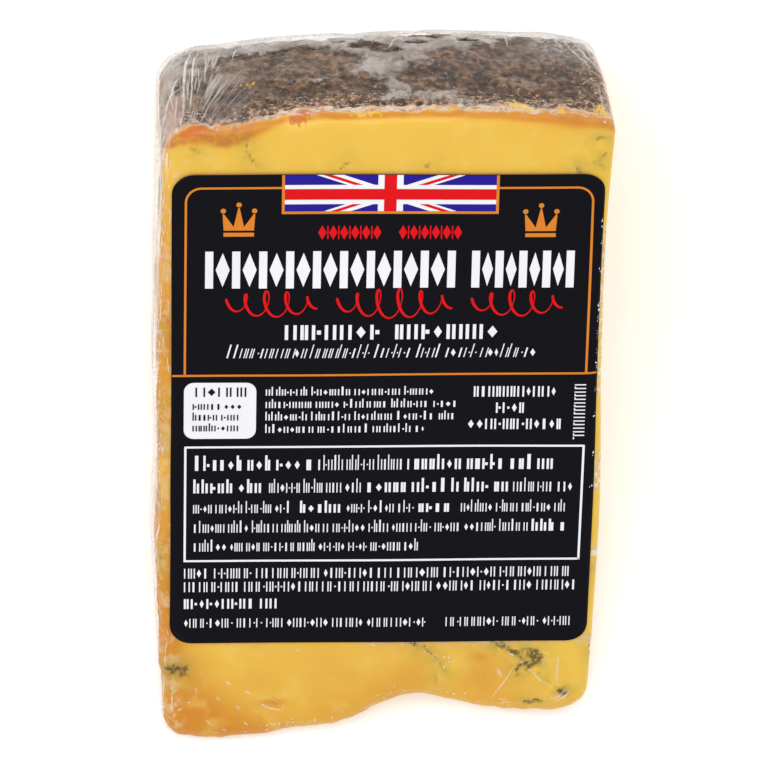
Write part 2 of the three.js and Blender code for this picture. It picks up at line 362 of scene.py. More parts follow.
# Soft greyish green shades: x, distance from the axis, half sizes, strength.
SHOWN_SHADES = [
    (-30.6, 19.2, 2.8, 1.7, 0.95),
    (23.6, 21.4, 3.8, 2.8, 0.8),
    (19.2, 24.2, 3.2, 1.5, 0.7),
    (12.5, 22.8, 4.0, 2.6, 0.35),
    (8.5, 24.4, 4.0, 1.2, 0.6),
    (28.2, 18.2, 2.6, 3.6, 0.35),
    (14.5, 24.9, 6.0, 1.0, 0.45),
    (1.5, 24.6, 3.0, 1.0, 0.25),
    (-3.4, 17.8, 1.0, 1.2, 0.5),
    (24.8, 13.2, 3.0, 0.8, 0.5),
    (9.9, 17.4, 1.1, 1.6, 0.5),
    (29.3, 15.1, 1.4, 1.2, 0.6),
    (31.8, 106.8, 2.6, 2.2, 0.8),
    (32.4, 110.4, 1.6, 0.9, 0.4),
    (-27.7, 108.6, 1.6, 0.9, 0.5),
    (-5.8, 106.2, 1.2, 0.9, 0.4),
    (6.6, 106.2, 1.3, 0.8, 0.4),
    (33.2, 37.0, 0.9, 3.0, 0.7),
    (-33.0, 77.8, 1.0, 2.0, 0.7),
    (-33.0, 50.0, 0.9, 1.6, 0.6),
    (-32.7, 59.6, 1.0, 2.2, 0.8),
    (-32.6, 39.4, 1.2, 1.8, 0.8),
    (-33.0, 29.0, 1.0, 3.0, 0.6),
    (33.0, 53.0, 0.9, 2.4, 0.6),
]
veins = [([on_upper_face(*p) for p in path], width, force) for path, width, force in SHOWN_VEINS]

# %% Veins on the faces that don't show
vein_draws = np.random.default_rng(11)


def wandering_vein(start, sideways, onward):
    """A random walk in the plane of two directions, as one vein."""
    heading = vein_draws.uniform(0, 2 * math.pi)
    path = [np.array(start, float)]
    for _ in range(vein_draws.integers(2, 5)):
        heading += vein_draws.normal(0, 0.7)
        step = vein_draws.uniform(1.2, 3.2)
        path.append(path[-1] + step * (math.cos(heading) * sideways + math.sin(heading) * onward))
    return path, vein_draws.uniform(0.35, 0.8), vein_draws.uniform(0.45, 1.0)


X_AXIS, Y_AXIS, Z_AXIS = np.eye(3)
VEINS_BELOW, VEINS_RIGHT = 30, 26
for _ in range(VEINS_BELOW):  # on the lower cut face
    start = [vein_draws.uniform(-31, 31), vein_draws.uniform(14, 108), 0]
    veins.append(wandering_vein(start, X_AXIS, Y_AXIS))
for _ in range(VEINS_RIGHT):  # on the cut at the right
    radius = DRUM_RADIUS * math.sqrt(vein_draws.uniform(0.03, 0.93))
    angle = vein_draws.uniform(0.08, 0.92) * WEDGE_ANGLE
    start = [HALF_WIDTH, radius * math.cos(angle), radius * math.sin(angle)]
    veins.append(wandering_vein(start, Y_AXIS, Z_AXIS))
print(len(veins), "veins,", len(SHOWN_VEINS), "of them placed by hand")


# %% How close each vertex is to a vein
def distance_to_path(points, path):
    """Each point's distance to a line of a few straight stretches."""
    nearest = np.full(len(points), np.inf)
    for a, b in zip(path[:-1], path[1:]):
        ab = b - a
        t = np.clip((points - a) @ ab / (ab @ ab), 0, 1)
        nearest = np.minimum(nearest, np.linalg.norm(points - a - t[:, None] * ab, axis=1))
    return nearest


HALO_WIDTH = 1.6  # of the greenish shade beyond the vein
FADE = 0.7  # how much force a vein loses at its own width from its middle
x_place, _, z_place = places.T


def spot(middle, half_x, half_radius):
    """1 at a place (x, distance from the axis), falling off smoothly round it."""
    x, radius = middle
    return np.exp(-(((x_place - x) / half_x) ** 2) - ((skin["radius"] - radius) / half_radius) ** 2)


wobble = 0.3 * lumps(places, 1.6, 12)
vein = np.full(len(places), -1.0)
halo = np.zeros(len(places))
for path, width, force in veins:
    away = distance_to_path(places, path)
    vein = np.maximum(vein, force - np.maximum(away + wobble * width, 0) / width * FADE)
    halo = np.maximum(halo, force * np.exp(-((away / (width + HALO_WIDTH)) ** 2)))
on_top_face = cut_share * (below_upper < 1)
for x, radius, half_x, half_radius, force in SHOWN_SHADES:
    halo = np.maximum(halo, force * spot((x, radius), half_x, half_radius) * on_top_face)
print("vertices in a vein:", int((vein > 0.3).sum()))

# %% [markdown]
# ## Film that touches and film that spans
#
# Stretch film lies on the crags where the air was pressed out and spans the hollows elsewhere. Where it
# touches, the dark crust shows through. Where it spans, it mirrors the pale room. So the film's height is
# the larger of two: the crags plus a hair, and a smooth level that is high in some regions and low in
# others. `np.logaddexp` gives a rounded maximum, which is how a real film leaves a crag.

# %% Where the film is wet against the crust
# Middles of the patches on the wall: x, height above the table, and half sizes.
WET_PATCHES = [
    (20, 42, 12, 12),
    (8.5, 45.5, 5, 4.5),
    (26, 32, 6.5, 11),
    (28.5, 46, 5, 9),
    (14, 36, 6, 5.5),
    (-20, 50, 7.5, 8),
    (-9, 51, 7, 6),
    (-10.5, 37, 7, 6.5),
    (-19, 42, 5, 6),
    (-3.5, 48, 4, 5),
    (2.5, 55.5, 8, 2.2),
    (-0.3, 28, 3.2, 1.8),
    (1.6, 31.8, 2.2, 1.2),
    (7.7, 20, 4, 2.2),
    (12.7, 14, 4, 2.5),
    (-25, 45, 5.5, 8),
    (-21, 33, 5, 4.5),
    (-28, 50, 4, 5),
    (-12.5, 29.5, 4.5, 3),
    (-1.2, 25.4, 0.9, 2.6),
    (1.3, 31, 2.2, 1.4),
    (6.2, 27.4, 1.4, 0.9),
    (9.5, 23.5, 1.2, 1.3),
    (11, 18.5, 0.9, 1.6),
    (14, 25.5, 1.3, 0.8),
    (17.8, 18, 0.9, 1.2),
    (-5.2, 24, 0.9, 1),
]
wet = np.zeros(len(places))
for x, z, half_x, half_z in WET_PATCHES:
    away = np.hypot((x_place - x) / half_x, (z_place - z) / half_z)
    wet = np.maximum(wet, smooth_step(away, 1.45, 0.75))
unshown = smooth_step(z_place, 18, 8)
wet = np.maximum(wet, unshown * smooth_step(lumps(places, 11, 14), -0.1, 0.25))
wet += 0.22 * lumps(places, 3.4, 15)
DRY_LEVEL, WET_DROP = 0.34, 0.85  # mm
span_level = DRY_LEVEL - WET_DROP * np.clip(wet, 0, 1) + 0.1 * lumps(places, 13, 16)
print("share of the wall where the film is wet:", round(float((wet[wall_share > 0.9] > 0.5).mean()), 2))

# %% Pleats at the corners
PLEATS_MEET = (-29.5, 63.0)  # x and height of the point that the pleats run to
FAN_WAVE = 26  # how far the wave of the pleats turns in one radian of the fan
CORNER_WAVE = 1.3  # and in one mm over the right corner, where they run side by side
PLEAT_HEIGHT = {"left": 0.16, "right": 0.1}
fan_x, fan_z = x_place - PLEATS_MEET[0], PLEATS_MEET[1] - z_place
fan = np.arctan2(fan_x, np.maximum(fan_z, 1))
fan_reach = np.hypot(fan_x, fan_z)
pleat_region = smooth_step(x_place, -17, -25) * wall_share * smooth_step(z_place, 4, 14)
pleats = np.abs(np.sin(fan * FAN_WAVE + 1.2 * lumps(places, 9, 17))) ** 2 * pleat_region
corner_region = smooth_step(x_place, 21, 27) * smooth_step(z_place, 42, 26) * wall_share
corner_pleats = np.abs(np.sin((x_place + 0.55 * z_place) * CORNER_WAVE)) ** 3 * corner_region
print("pleated vertices:", int((pleats > 0.5).sum()))

# %% The heights of cheese and film over the smooth skin
CHEESE_UNDER_SKIN = {"cut": 0.1, "wall": 0.55, "end": 0.95, "tip": 0.32}
FILM_OVER_CHEESE = 0.07
SHARPNESS = 14.0  # of the rounded maximum, per mm
VEIN_DEPTH = 0.4
end_hollow = 0.5 + 0.5 * smooth_step(lumps(places, 15, 18), -0.25, 0.25)
end_hollow *= 1 - 0.55 * smooth_step(below_upper, 8, 1.5)  # the film is pulled tight over the upper edge
cheese_height = (
    wall_share * (wall_height - CHEESE_UNDER_SKIN["wall"])
    + end_share * (end_height - CHEESE_UNDER_SKIN["end"] * end_hollow)
    + tip_share * (tip_height - CHEESE_UNDER_SKIN["tip"])
    + cut_share * (cut_height - CHEESE_UNDER_SKIN["cut"])
    - VEIN_DEPTH * np.clip(vein, 0, 1) * cut_share
)
span_height = (
    wall_share * span_level
    + end_share * (0.25 * lumps(places, 12, 19))
    + tip_share * (0.25 * lumps(places, 7, 20) - 0.15)
    + cut_share * (swelling(places) - 0.02)
)
touching_height = cheese_height + FILM_OVER_CHEESE
film_height = np.logaddexp(SHARPNESS * span_height, SHARPNESS * touching_height) / SHARPNESS
film_height += PLEAT_HEIGHT["left"] * pleats + PLEAT_HEIGHT["right"] * corner_pleats
film_gap = film_height - cheese_height
print("film stands off the wall by up to", round(float(film_gap[wall_share > 0.9].max()), 2), "mm")


# %% [markdown]
# ## From numbers to meshes
#
# A mesh could be made with bmesh, but for a grid of this size plain arrays are faster. What each vertex
# knows goes with it as named attributes, which the materials read.


# %% Making an object from arrays
def mesh_object(name, points, faces, attributes=None):
    """A smooth object from points in mm round the drum's axis, put into the model's frame in metres."""
    mesh = bpy.data.meshes.new(name)
    mesh.from_pydata(((points + AXIS) * MM).tolist(), [], [list(map(int, f)) for f in faces])
    for title, values in (attributes or {}).items():
        layer = mesh.attributes.new(title, "FLOAT", "POINT")
        layer.data.foreach_set("value", np.asarray(values, np.float32))
    mesh.shade_smooth()
    piece = bpy.data.objects.new(name, mesh)
    bpy.context.scene.collection.objects.link(piece)
    print(name, "has", len(mesh.vertices), "vertices and", len(mesh.polygons), "faces")
    return piece


def pressed_flat(points, rest):
    """Nothing goes below the surface that the wedge lies on."""
    flat = points.copy()
    flat[:, 2] = np.maximum(flat[:, 2], rest - AXIS[2])
    return flat


# %% Warm and yellow regions of the paste
# Middle (x, distance from the axis), half size, and how much deeper or yellower the colour is there.
TINTS = [
    ((0, 10), (60, 16), 0.4),
    ((-15.4, 13.4), (1.8, 0.7), 0.7),
    ((-33, 9), (8, 8), 1.6),
    ((-31, 20), (6, 5), 0.35),
    ((-33, 24), (3.5, 12), 0.75),
    ((-24, 8), (12, 3.5), 0.5),
    ((-33, 60), (2.6, 34), 0.7),
    ((-31, 79), (1.6, 7), 0.7),
    ((-31, 35), (1.8, 10), 0.6),
    ((31.5, 114), (6, 1.6), 0.7),
    ((-26, 111), (8, 2.4), 0.7),
    ((-33, 92), (2, 12), 0.3),
    ((16.5, 21.6), (1.6, 1.0), 0.35),
    ((17, 18), (5, 4), 0.12),
    ((31, 113.2), (7, 1.2), 0.5),
    ((33, 60), (2.5, 40), -0.5),
    ((33, 100), (3, 7), -0.8),
    ((28, 21), (4, 5), -0.5),
    ((12, 20), (3, 4), -0.4),
]
warm = np.zeros(len(places))
for middle, half, amount in TINTS:
    warm += amount * spot(middle, *half)
under_rind = np.exp(-(((onto_wall + 2.1) / 1.5) ** 2))
warm += under_rind * (1.0 + 0.7 * lumps(places, 8, 21) + 0.4 * smooth_step(np.abs(x_place), 10, 26))
print("warmth runs from", round(float(warm.min()), 2), "to", round(float(warm.max()), 2))

# The crust is thinner, paler and pinker near the flat end.
pale_rind = smooth_step(x_place, -28, -32) * (0.35 + 0.65 * smooth_step(z_place, 38, 45))
pale_rind = np.clip(pale_rind + 0.35 * lumps(places, 4, 22) * (x_place < -20), 0, 1)

# %% Bits of colour in the rim
# Place (x, y, z from the drum's axis), size in mm.
RED_BITS = [
    ((-12.5, 99.2, 55.8), 1.8),
    ((-11.7, 100.0, 54.5), 1.1),
    ((-13.6, 99.2, 55.6), 1.1),
    ((-9.3, 99.8, 54.9), 0.8),
    ((-27.7, 97.3, 55.6), 1.8),
    ((-28.9, 96.9, 55.5), 1.3),
    ((-26.5, 98.0, 55.4), 0.8),
    ((-8.4, 110.1, 31.8), 1.0),
    ((-32.0, 105.2, 44.4), 2.0),
    ((-32.6, 102.9, 49.6), 1.0),
    ((4.0, 99.9, 55.0), 0.7),
    ((12.4, 100.0, 54.8), 0.8),
]
YELLOW_BITS = [
    ((19.7, 100.5, 53.6), 1.8),
    ((18.8, 101.0, 52.5), 1.3),
    ((21.0, 100.2, 54.2), 1.1),
    ((32.3, 100.8, 53.1), 1.7),
    ((-19.5, 106.0, 42.9), 1.4),
    ((-20.6, 105.8, 43.6), 0.9),
    ((-17.9, 108.6, 35.9), 1.0),
    ((-3.6, 99.4, 55.6), 1.3),
    ((-1.5, 99.7, 55.4), 1.0),
    ((26.0, 100.0, 54.4), 1.0),
]


def near_bits(bits):
    """1 at a bit's middle, falling to 0 at about twice its size."""
    away = [np.linalg.norm(places - np.array(middle), axis=1) / size for middle, size in bits]
    return np.exp(-(np.array(away) ** 2)).max(axis=0)


# %% The cheese and the film
REST_OF_CHEESE = 0.1  # height of the cheese's flat underside, on the film's
# The rim is orange towards both ends of the rind, most of all at the left.
orange_rim = np.maximum(smooth_step(x_place, -16, -22), 0.7 * smooth_step(x_place, 22, 28))
orange_rim *= smooth_step(onto_wall, -4.6, -3.2) * smooth_step(z_place, 50, 53)
cheese = mesh_object(
    "cheese",
    pressed_flat(places + skin["outward"] * cheese_height[:, None], REST_OF_CHEESE),
    grid_quads,
    {
        "vein": vein,
        "halo": halo,
        "warm": warm,
        "onto_wall": onto_wall,
        "onto_end": onto_end,
        "crag": wall_height * wall_share + end_height * end_share,
        "pale_rind": pale_rind,
        "orange_rim": orange_rim,
        "along_strip": smooth_step(under_end, 4.5, 1.5) * cut_share,
        "red_bits": near_bits(RED_BITS),
        "yellow_bits": near_bits(YELLOW_BITS),
    },
)
# Where the film over the right edge gets a painted glare: opposite most of the label and in two short
# stretches below.
right_glare = smooth_step(skin["radius"], 98, 94) * smooth_step(skin["radius"], 64, 70)
for radius, half in ((54, 4), (40, 2)):
    right_glare = np.maximum(right_glare, smooth_step(np.abs(skin["radius"] - radius), half, half - 1.5))
LABEL_FOOT, STRIP = 24.6, 1.3  # the label's lower edge, from the axis, and how far the haze below it reaches
below_label = np.exp(-(((skin["radius"] - LABEL_FOOT) / STRIP) ** 2))
film_points = pressed_flat(places + skin["outward"] * film_height[:, None], 0.0)
film = mesh_object(
    "film",
    film_points,
    grid_quads,
    {
        "wet": wet,
        "fan": fan,
        "fan_reach": fan_reach,
        "pleated": pleat_region,
        # how strong the dry film's milk and painted reflection are: stronger low on the wall
        "white_weight": 1 + 0.35 * smooth_step(z_place, 30, 22) * smooth_step(z_place, 0, 10),
        "corner": corner_region,
        "below_label": below_label * smooth_step(x_place, -13, 4) * cut_share,
        "wall": wall_share,
        "end": end_share,
        "onto_wall": onto_wall,
        "under_end": under_end,
        # this one also carries where the painted glare over the right edge lies
        "inside_right": inside_right + 3 * (1 - right_glare) + 4 * smooth_step(below_upper, 0.8, 2.2),
        "crinkle": np.clip(0.9 * halo + 0.8 * tip_share + 0.5 * np.exp(-((under_end / 2) ** 2)), 0, 1),
    },
)

# %% [markdown]
# ## Wiring materials
#
# Every finish is a small net of shader nodes. Adding nodes one by one hides what a finish is made of, so a
# helper adds and joins them, and a finish then reads as a few short lines. Nothing is an image: all
# pattern comes from noise in the object's own space and from the vertex attributes.


# %% The wiring helper
class Finish:
    """Adds nodes to one material. Values may be numbers, colours or other nodes' outputs."""

    def __init__(self, name):
        self.material = bpy.data.materials.new(name)
        self.material.use_nodes = True
        self.tree = self.material.node_tree
        self.tree.nodes.clear()
        self.place = self.add("TexCoord").outputs["Object"]

    def add(self, kind, inputs=None, **settings):
        node = self.tree.nodes.new("ShaderNode" + kind)
        for key, value in settings.items():
            setattr(node, key, value)
        for key, value in (inputs or {}).items():
            self.join(node.inputs[key], value)
        return node

    def join(self, socket, value):
        if isinstance(value, bpy.types.NodeSocket):
            self.tree.links.new(value, socket)
        elif isinstance(value, tuple) and len(socket.default_value) == 4 and len(value) == 3:
            socket.default_value = (*value, 1)
        else:
            socket.default_value = value

    def attribute(self, name):
        return self.add("Attribute", attribute_name=name).outputs["Fac"]

    def noise(self, size, detail=2.0, roughness=0.55, stretch=(1, 1, 1)):
        """Noise from 0 to 1 with lumps of that size in mm."""
        scaled = self.add("Mapping", {"Vector": self.place, "Scale": stretch})
        inputs = {"Vector": scaled.outputs[0], "Scale": 1 / (size * MM), "Detail": detail}
        return self.add("TexNoise", {**inputs, "Roughness": roughness}).outputs["Fac"]

    def math(self, operation, *values):
        return self.add("Math", dict(enumerate(values)), operation=operation).outputs[0]

    def times(self, first, second):
        return self.math("MULTIPLY", first, second)

    def ragged(self, distance, noise, amount, middle=0.5):
        """A distance with noise added, so that a limit to it becomes a ragged line."""
        return self.math("MULTIPLY_ADD", self.math("SUBTRACT", noise, middle), amount, distance)

    def steps(self, value, low, high, to=(0.0, 1.0)):
        """A soft step: `to` is what it gives below low and above high."""
        inputs = {"Value": value, "From Min": low, "From Max": high, "To Min": to[0], "To Max": to[1]}
        return self.add("MapRange", inputs, interpolation_type="SMOOTHSTEP").outputs[0]

    def mix(self, share, first, second):
        inputs = {"Factor": share, 6: first, 7: second}
        return self.add("Mix", inputs, data_type="RGBA").outputs[2]

    def tint(self, colour, other, value, low, high, most=1.0):
        """Goes over to the other colour, by that share at most, as a value goes from low to high."""
        return self.mix(self.steps(value, low, high, (0.0, most)), colour, other)

    def bump(self, height, depth, strength=1.0):
        """Small relief: depth in mm is how far height 0 to 1 goes."""
        return self.add("Bump", {"Height": height, "Distance": depth * MM, "Strength": strength}).outputs[0]

    def tell(self, what):
        """Says how far the finish has grown."""
        print(what + ":", len(self.tree.nodes), "nodes so far")

    def finish(self, shader):
        self.add("OutputMaterial", {"Surface": shader})
        return self.material


# %% [markdown]
# ## The cheese's colours
#
# The paste is a warm yellow, deeper orange where it is drier: near the tip's left corner, along the left
# edge and just under the rind. The rind is built up by depth: under about half a millimetre it is crust,
# brown and grey, darkened in the pits as painted shade and greyed on the peaks as painted highlight, then
# comes a cream and pink rim that the knife cut through. The depths are in the vertices, and fine noise
# added to them gives the ragged lines between the layers.

# %% Paste
paste = Finish("cheese paste and rind")
PASTE_YELLOW = (0.775, 0.482, 0.064)
PASTE_ORANGE = (0.60, 0.232, 0.017)
PASTE_LEMON = (0.76, 0.51, 0.03)
PASTE_PALE = (0.80, 0.57, 0.13)
PASTE_DRY = (0.70, 0.53, 0.30)
PASTE_GRAIN = (0.55, 0.28, 0.05)
warm_here = paste.ragged(paste.attribute("warm"), paste.noise(16, 2), 0.9)
colour = paste.tint(PASTE_YELLOW, PASTE_ORANGE, warm_here, -0.1, 1.05)
colour = paste.tint(colour, PASTE_LEMON, warm_here, -0.1, -0.75, 0.5)
colour = paste.tint(colour, PASTE_PALE, paste.noise(4.4, 3), 0.48, 0.76, 0.42)
dry_spots = paste.times(paste.steps(paste.noise(2.4, 4, 0.6), 0.48, 0.6), paste.attribute("along_strip"))
colour = paste.mix(paste.times(dry_spots, 0.65), colour, PASTE_DRY)
fine_grain = paste.noise(0.7, 2)
colour = paste.tint(colour, PASTE_GRAIN, fine_grain, 0.45, 0.8, 0.10)
paste.tell("paste")

# %% Veins and the shade round them
VEIN_SHADE = (0.45, 0.33, 0.055)
VEIN_DARK = (0.045, 0.030, 0.006)
VEIN_GREY = (0.20, 0.135, 0.032)
VEIN_SMEAR = (0.36, 0.245, 0.055)
shade_here = paste.times(paste.attribute("halo"), paste.steps(paste.noise(1.7, 4, 0.6), 0.28, 0.68))
colour = paste.mix(paste.times(shade_here, 0.85), colour, VEIN_SHADE)
vein_here = paste.ragged(paste.attribute("vein"), paste.noise(0.8, 4, 0.65), 2.6, 0.54)
vein_colour = paste.mix(paste.noise(0.5, 2), VEIN_DARK, VEIN_GREY)
colour = paste.tint(colour, VEIN_SMEAR, vein_here, -0.35, 0.45, 0.6)
colour = paste.tint(colour, vein_colour, vein_here, 0.15, 0.75, 0.94)
paste.tell("veins")

# %% The rim that the knife cut through
RIM_CREAM = (0.66, 0.50, 0.35)
RIM_PINK = (0.53, 0.28, 0.17)
RIM_BROWN = (0.26, 0.11, 0.06)
RIM_YELLOW = (0.66, 0.33, 0.06)
RIM_ORANGE = (0.62, 0.27, 0.045)
RIM_STAIN = (0.42, 0.155, 0.04)
past_arris = paste.ragged(paste.attribute("onto_wall"), paste.noise(3.6, 5, 0.62), 4.2)
rim_colour = paste.tint(RIM_CREAM, RIM_PINK, paste.noise(1.4, 4), 0.46, 0.68)
rim_colour = paste.tint(rim_colour, RIM_BROWN, paste.noise(1.0, 4), 0.51, 0.64, 0.8)
rim_colour = paste.tint(rim_colour, RIM_YELLOW, paste.noise(2.2, 3), 0.54, 0.64, 0.7)
orange_rim_share = paste.attribute("orange_rim")
orange_here = paste.times(orange_rim_share, paste.steps(paste.noise(1.2, 4), 0.62, 0.5))
rim_colour = paste.mix(paste.times(orange_here, 0.85), rim_colour, RIM_ORANGE)
stained = paste.times(orange_rim_share, paste.steps(paste.noise(1.0, 5, 0.65), 0.42, 0.6))
colour = paste.mix(paste.times(stained, 0.75), colour, RIM_STAIN)
colour = paste.tint(colour, rim_colour, past_arris, -0.95, -0.55)
paste.tell("rim")

# %% The crust of the wall
CRUST_DARK = (0.030, 0.018, 0.010)
CRUST_BROWN = (0.102, 0.055, 0.029)
CRUST_GREY = (0.225, 0.145, 0.088)
CRUST_RUST = (0.30, 0.15, 0.11)
CRUST_PINK = (0.56, 0.38, 0.29)
CRUMB_TAN = (0.55, 0.36, 0.26)
CRUMBS_INTO_WALL = -0.022  # how fast they get fewer, per mm past the arris
crag_here = paste.ragged(paste.attribute("crag"), paste.noise(0.9, 4, 0.65, (1.0, 1.0, 0.35)), 3.0)
# Colour by crag height: the crust's own browns and greys, darkest in the pits as painted shade and greyest on
# the peaks as painted highlight.
crust_colour = paste.tint(CRUST_DARK, CRUST_BROWN, crag_here, -0.38, -0.02)
crust_colour = paste.tint(crust_colour, CRUST_GREY, crag_here, 0.05, 0.5)
crust_colour = paste.tint(crust_colour, CRUST_RUST, paste.noise(2.8, 3), 0.58, 0.72, 0.45)
crust_colour = paste.mix(paste.times(paste.attribute("pale_rind"), 0.8), crust_colour, CRUST_PINK)
crumbs = paste.math("MULTIPLY_ADD", paste.attribute("onto_wall"), CRUMBS_INTO_WALL, paste.noise(0.75, 4, 0.6))
crust_colour = paste.tint(crust_colour, CRUMB_TAN, crumbs, 0.44, 0.54, 0.75)
colour = paste.tint(colour, crust_colour, past_arris, 0.75, 1.25)
paste.tell("crust")

# %% Bits of colour
BIT_COLOURS = {"red_bits": (0.56, 0.14, 0.025), "yellow_bits": (0.74, 0.47, 0.04)}
speckle = paste.noise(0.7, 3)
for bits, bit_colour in BIT_COLOURS.items():
    bit_here = paste.ragged(paste.attribute(bits), speckle, 2.2)
    colour = paste.tint(colour, bit_colour, bit_here, 0.42, 0.68, 0.85)

# %% The thin rind of the flat end
END_TAN = (0.70, 0.52, 0.30)
END_PINK = (0.50, 0.32, 0.22)
END_BROWN = (0.26, 0.15, 0.08)
past_end = paste.ragged(paste.attribute("onto_end"), paste.noise(2.0, 4), 1.2)
end_colour = paste.tint(END_TAN, END_PINK, paste.noise(2.6, 3), 0.35, 0.7)
end_colour = paste.tint(end_colour, END_BROWN, paste.noise(1.1, 4), 0.58, 0.76, 0.6)
end_colour = paste.tint(end_colour, crust_colour, paste.noise(6, 5, 0.65), 0.43, 0.58, 0.7)
colour = paste.tint(colour, end_colour, past_end, -0.2, 0.25, 0.92)
paste.tell("flat end")

# %% Gloss and pores
CUT_ROUGHNESS, CRUST_ROUGHNESS = 0.42, 0.85
crust_here = paste.steps(past_arris, 0.6, 1.2)
paste_roughness = paste.mix(crust_here, (CUT_ROUGHNESS,) * 3, (CRUST_ROUGHNESS,) * 3)
pores = paste.math("ADD", paste.times(fine_grain, 0.4), paste.noise(0.35, 2))
cheese_shader = paste.add(
    "BsdfPrincipled",
    {
        "Base Color": colour,
        "Roughness": paste_roughness,
        "Normal": paste.bump(pores, 0.07, 0.5),
        "Specular IOR Level": 0.16,
        "Subsurface Weight": 0.12,
        "Subsurface Radius": (0.0020, 0.0011, 0.0004),
        "Subsurface Scale": 1.0,
    },
)
cheese.data.materials.append(paste.finish(cheese_shader.outputs[0]))
paste.tell("cheese")

# %% [markdown]
# ## Film
#
# Clear film is hardly there: it lets light through and adds a mirror that is weak head on and strong at a
# slant. A glass shader would bend light and slow the render, so a transparent shader is mixed with a
# glossy one by how slanted the surface is seen. The Fresnel node would take light that leaves through the
# film for light inside a block of glass and throw it back, so the share is made from Layer Weight. Where
# the film stands off the cheese it looks milky, and where it is pleated it looks whiter still, so a little
# white is mixed in there. Over the dry crust that white is partly a painted reflection of the pale room, and
# along the arrises and over the right edge it is painted highlight. Creases get the same kind of finish,
# so one function makes both.

# %% The film over the crust
CLEAR = (1.0, 1.0, 1.0)
clear = Finish("clear film")
film_onto_wall = clear.attribute("onto_wall")
edge_noise = clear.noise(1.3, 5, 0.65)
# Dry patches are milky with ragged edges, partly a painted reflection of the pale room; wet ones are nearly
# clear.
wet_here = clear.ragged(clear.attribute("wet"), clear.noise(2.8, 6, 0.7, (1.0, 1.0, 0.4)), 3.4)
on_crust = clear.steps(clear.ragged(film_onto_wall, edge_noise, 1.6), -0.2, 0.9)
on_crust = clear.times(clear.attribute("wall"), on_crust)
# Painted reflection: where the film spans the crust, its milky white stands partly for the pale room mirrored
# in it.
dry_milk_and_reflection = clear.times(clear.steps(wet_here, 0.61, 0.02, (0.0, 0.40)), on_crust)
blotches = clear.steps(clear.noise(3.6, 5, 0.65, (1.0, 1.0, 0.5)), 0.32, 0.66, (0.55, 1.25))
streaks = clear.steps(clear.noise(1.6, 3, 0.6, (1.0, 1.0, 0.22)), 0.2, 0.75, (0.8, 1.1))
haze_and_sheen = clear.times(dry_milk_and_reflection, clear.times(blotches, clear.attribute("white_weight")))
haze_and_sheen = clear.times(haze_and_sheen, streaks)
clear.tell("film over the crust")


# %% Pleats
def add_haze_and_sheen(haze_and_sheen, where, share):
    """The larger of what is there and another share of white; some shares are haze, some are painted sheen.
    """
    return clear.math("MAXIMUM", haze_and_sheen, clear.times(where, share))


STREAKS_IN_RADIAN = 44.0  # of the fan of pleats
STREAKS_ALONG = 0.07  # per mm of a pleat's length
fan_place = clear.add(
    "CombineXYZ",
    {
        "X": clear.times(clear.attribute("fan"), STREAKS_IN_RADIAN),
        "Y": clear.times(clear.attribute("fan_reach"), STREAKS_ALONG),
    },
)
fan_inputs = {"Vector": fan_place.outputs[0], "Scale": 1.0, "Detail": 4.0, "Roughness": 0.6}
fan_noise = clear.add("TexNoise", fan_inputs).outputs["Fac"]
pleated = clear.times(clear.attribute("pleated"), clear.steps(film_onto_wall, -1.5, 1.5))
haze_and_sheen = add_haze_and_sheen(haze_and_sheen, pleated, clear.steps(fan_noise, 0.5, 0.61, (0.03, 0.54)))
corner_streaks = clear.steps(clear.noise(0.8, 3, 0.6, (1.0, 1.0, 0.3)), 0.5, 0.65, (0.1, 0.5))
haze_and_sheen = add_haze_and_sheen(haze_and_sheen, clear.attribute("corner"), corner_streaks)
clear.tell("pleats")

# %% Painted highlight along the arrises, painted glare over the right edge, haze along the left edge, over the flat end and below the label
# Painted highlight: flecks of white in the film along the arrises stand for the glints that the film catches
# there.
arris_highlight = clear.steps(clear.math("ABSOLUTE", clear.ragged(film_onto_wall, edge_noise, 1.4)), 0.9, 0.3)
haze_and_sheen = add_haze_and_sheen(haze_and_sheen, arris_highlight, clear.steps(clear.noise(0.9, 4), 0.48, 0.64, (0.0, 0.4)))
left_edge = clear.steps(clear.ragged(clear.attribute("under_end"), edge_noise, 2.4), 1.7, 0.5)
haze_and_sheen = add_haze_and_sheen(haze_and_sheen, left_edge, clear.steps(clear.noise(1.3, 4), 0.52, 0.72, (0.0, 0.3)))
from_outline = clear.math("ABSOLUTE", clear.math("SUBTRACT", clear.noise(2.6, 3, 0.5), 0.5))
haze_and_sheen = add_haze_and_sheen(haze_and_sheen, left_edge, clear.steps(from_outline, 0.03, 0.006, (0.0, 0.32)))
# Painted glare: cream-white flecks in the film over the right edge stand for the light that it catches there.
right_edge_glare = clear.steps(clear.ragged(clear.attribute("inside_right"), edge_noise, 2.0), 2.2, 1.4)
haze_and_sheen = add_haze_and_sheen(haze_and_sheen, right_edge_glare, clear.steps(clear.noise(1.2, 4), 0.42, 0.6, (0.1, 0.7)))
end_streaks = clear.steps(clear.noise(1.2, 3, 0.6, (1.0, 0.3, 1.0)), 0.4, 0.65, (0.7, 1.3))
end_patches = clear.steps(clear.noise(8, 6, 0.68), 0.44, 0.58, (0.1, 0.5))
on_end = clear.attribute("end")
haze_and_sheen = add_haze_and_sheen(haze_and_sheen, clear.steps(on_end, 0.86, 0.99), clear.times(end_patches, end_streaks))
near_label = clear.steps(clear.ragged(clear.attribute("below_label"), edge_noise, 1.6), 0.3, 0.9)
haze_and_sheen = add_haze_and_sheen(haze_and_sheen, near_label, clear.steps(clear.noise(1.8, 3), 0.42, 0.6, (0.05, 0.3)))
clear.tell("all the haze")


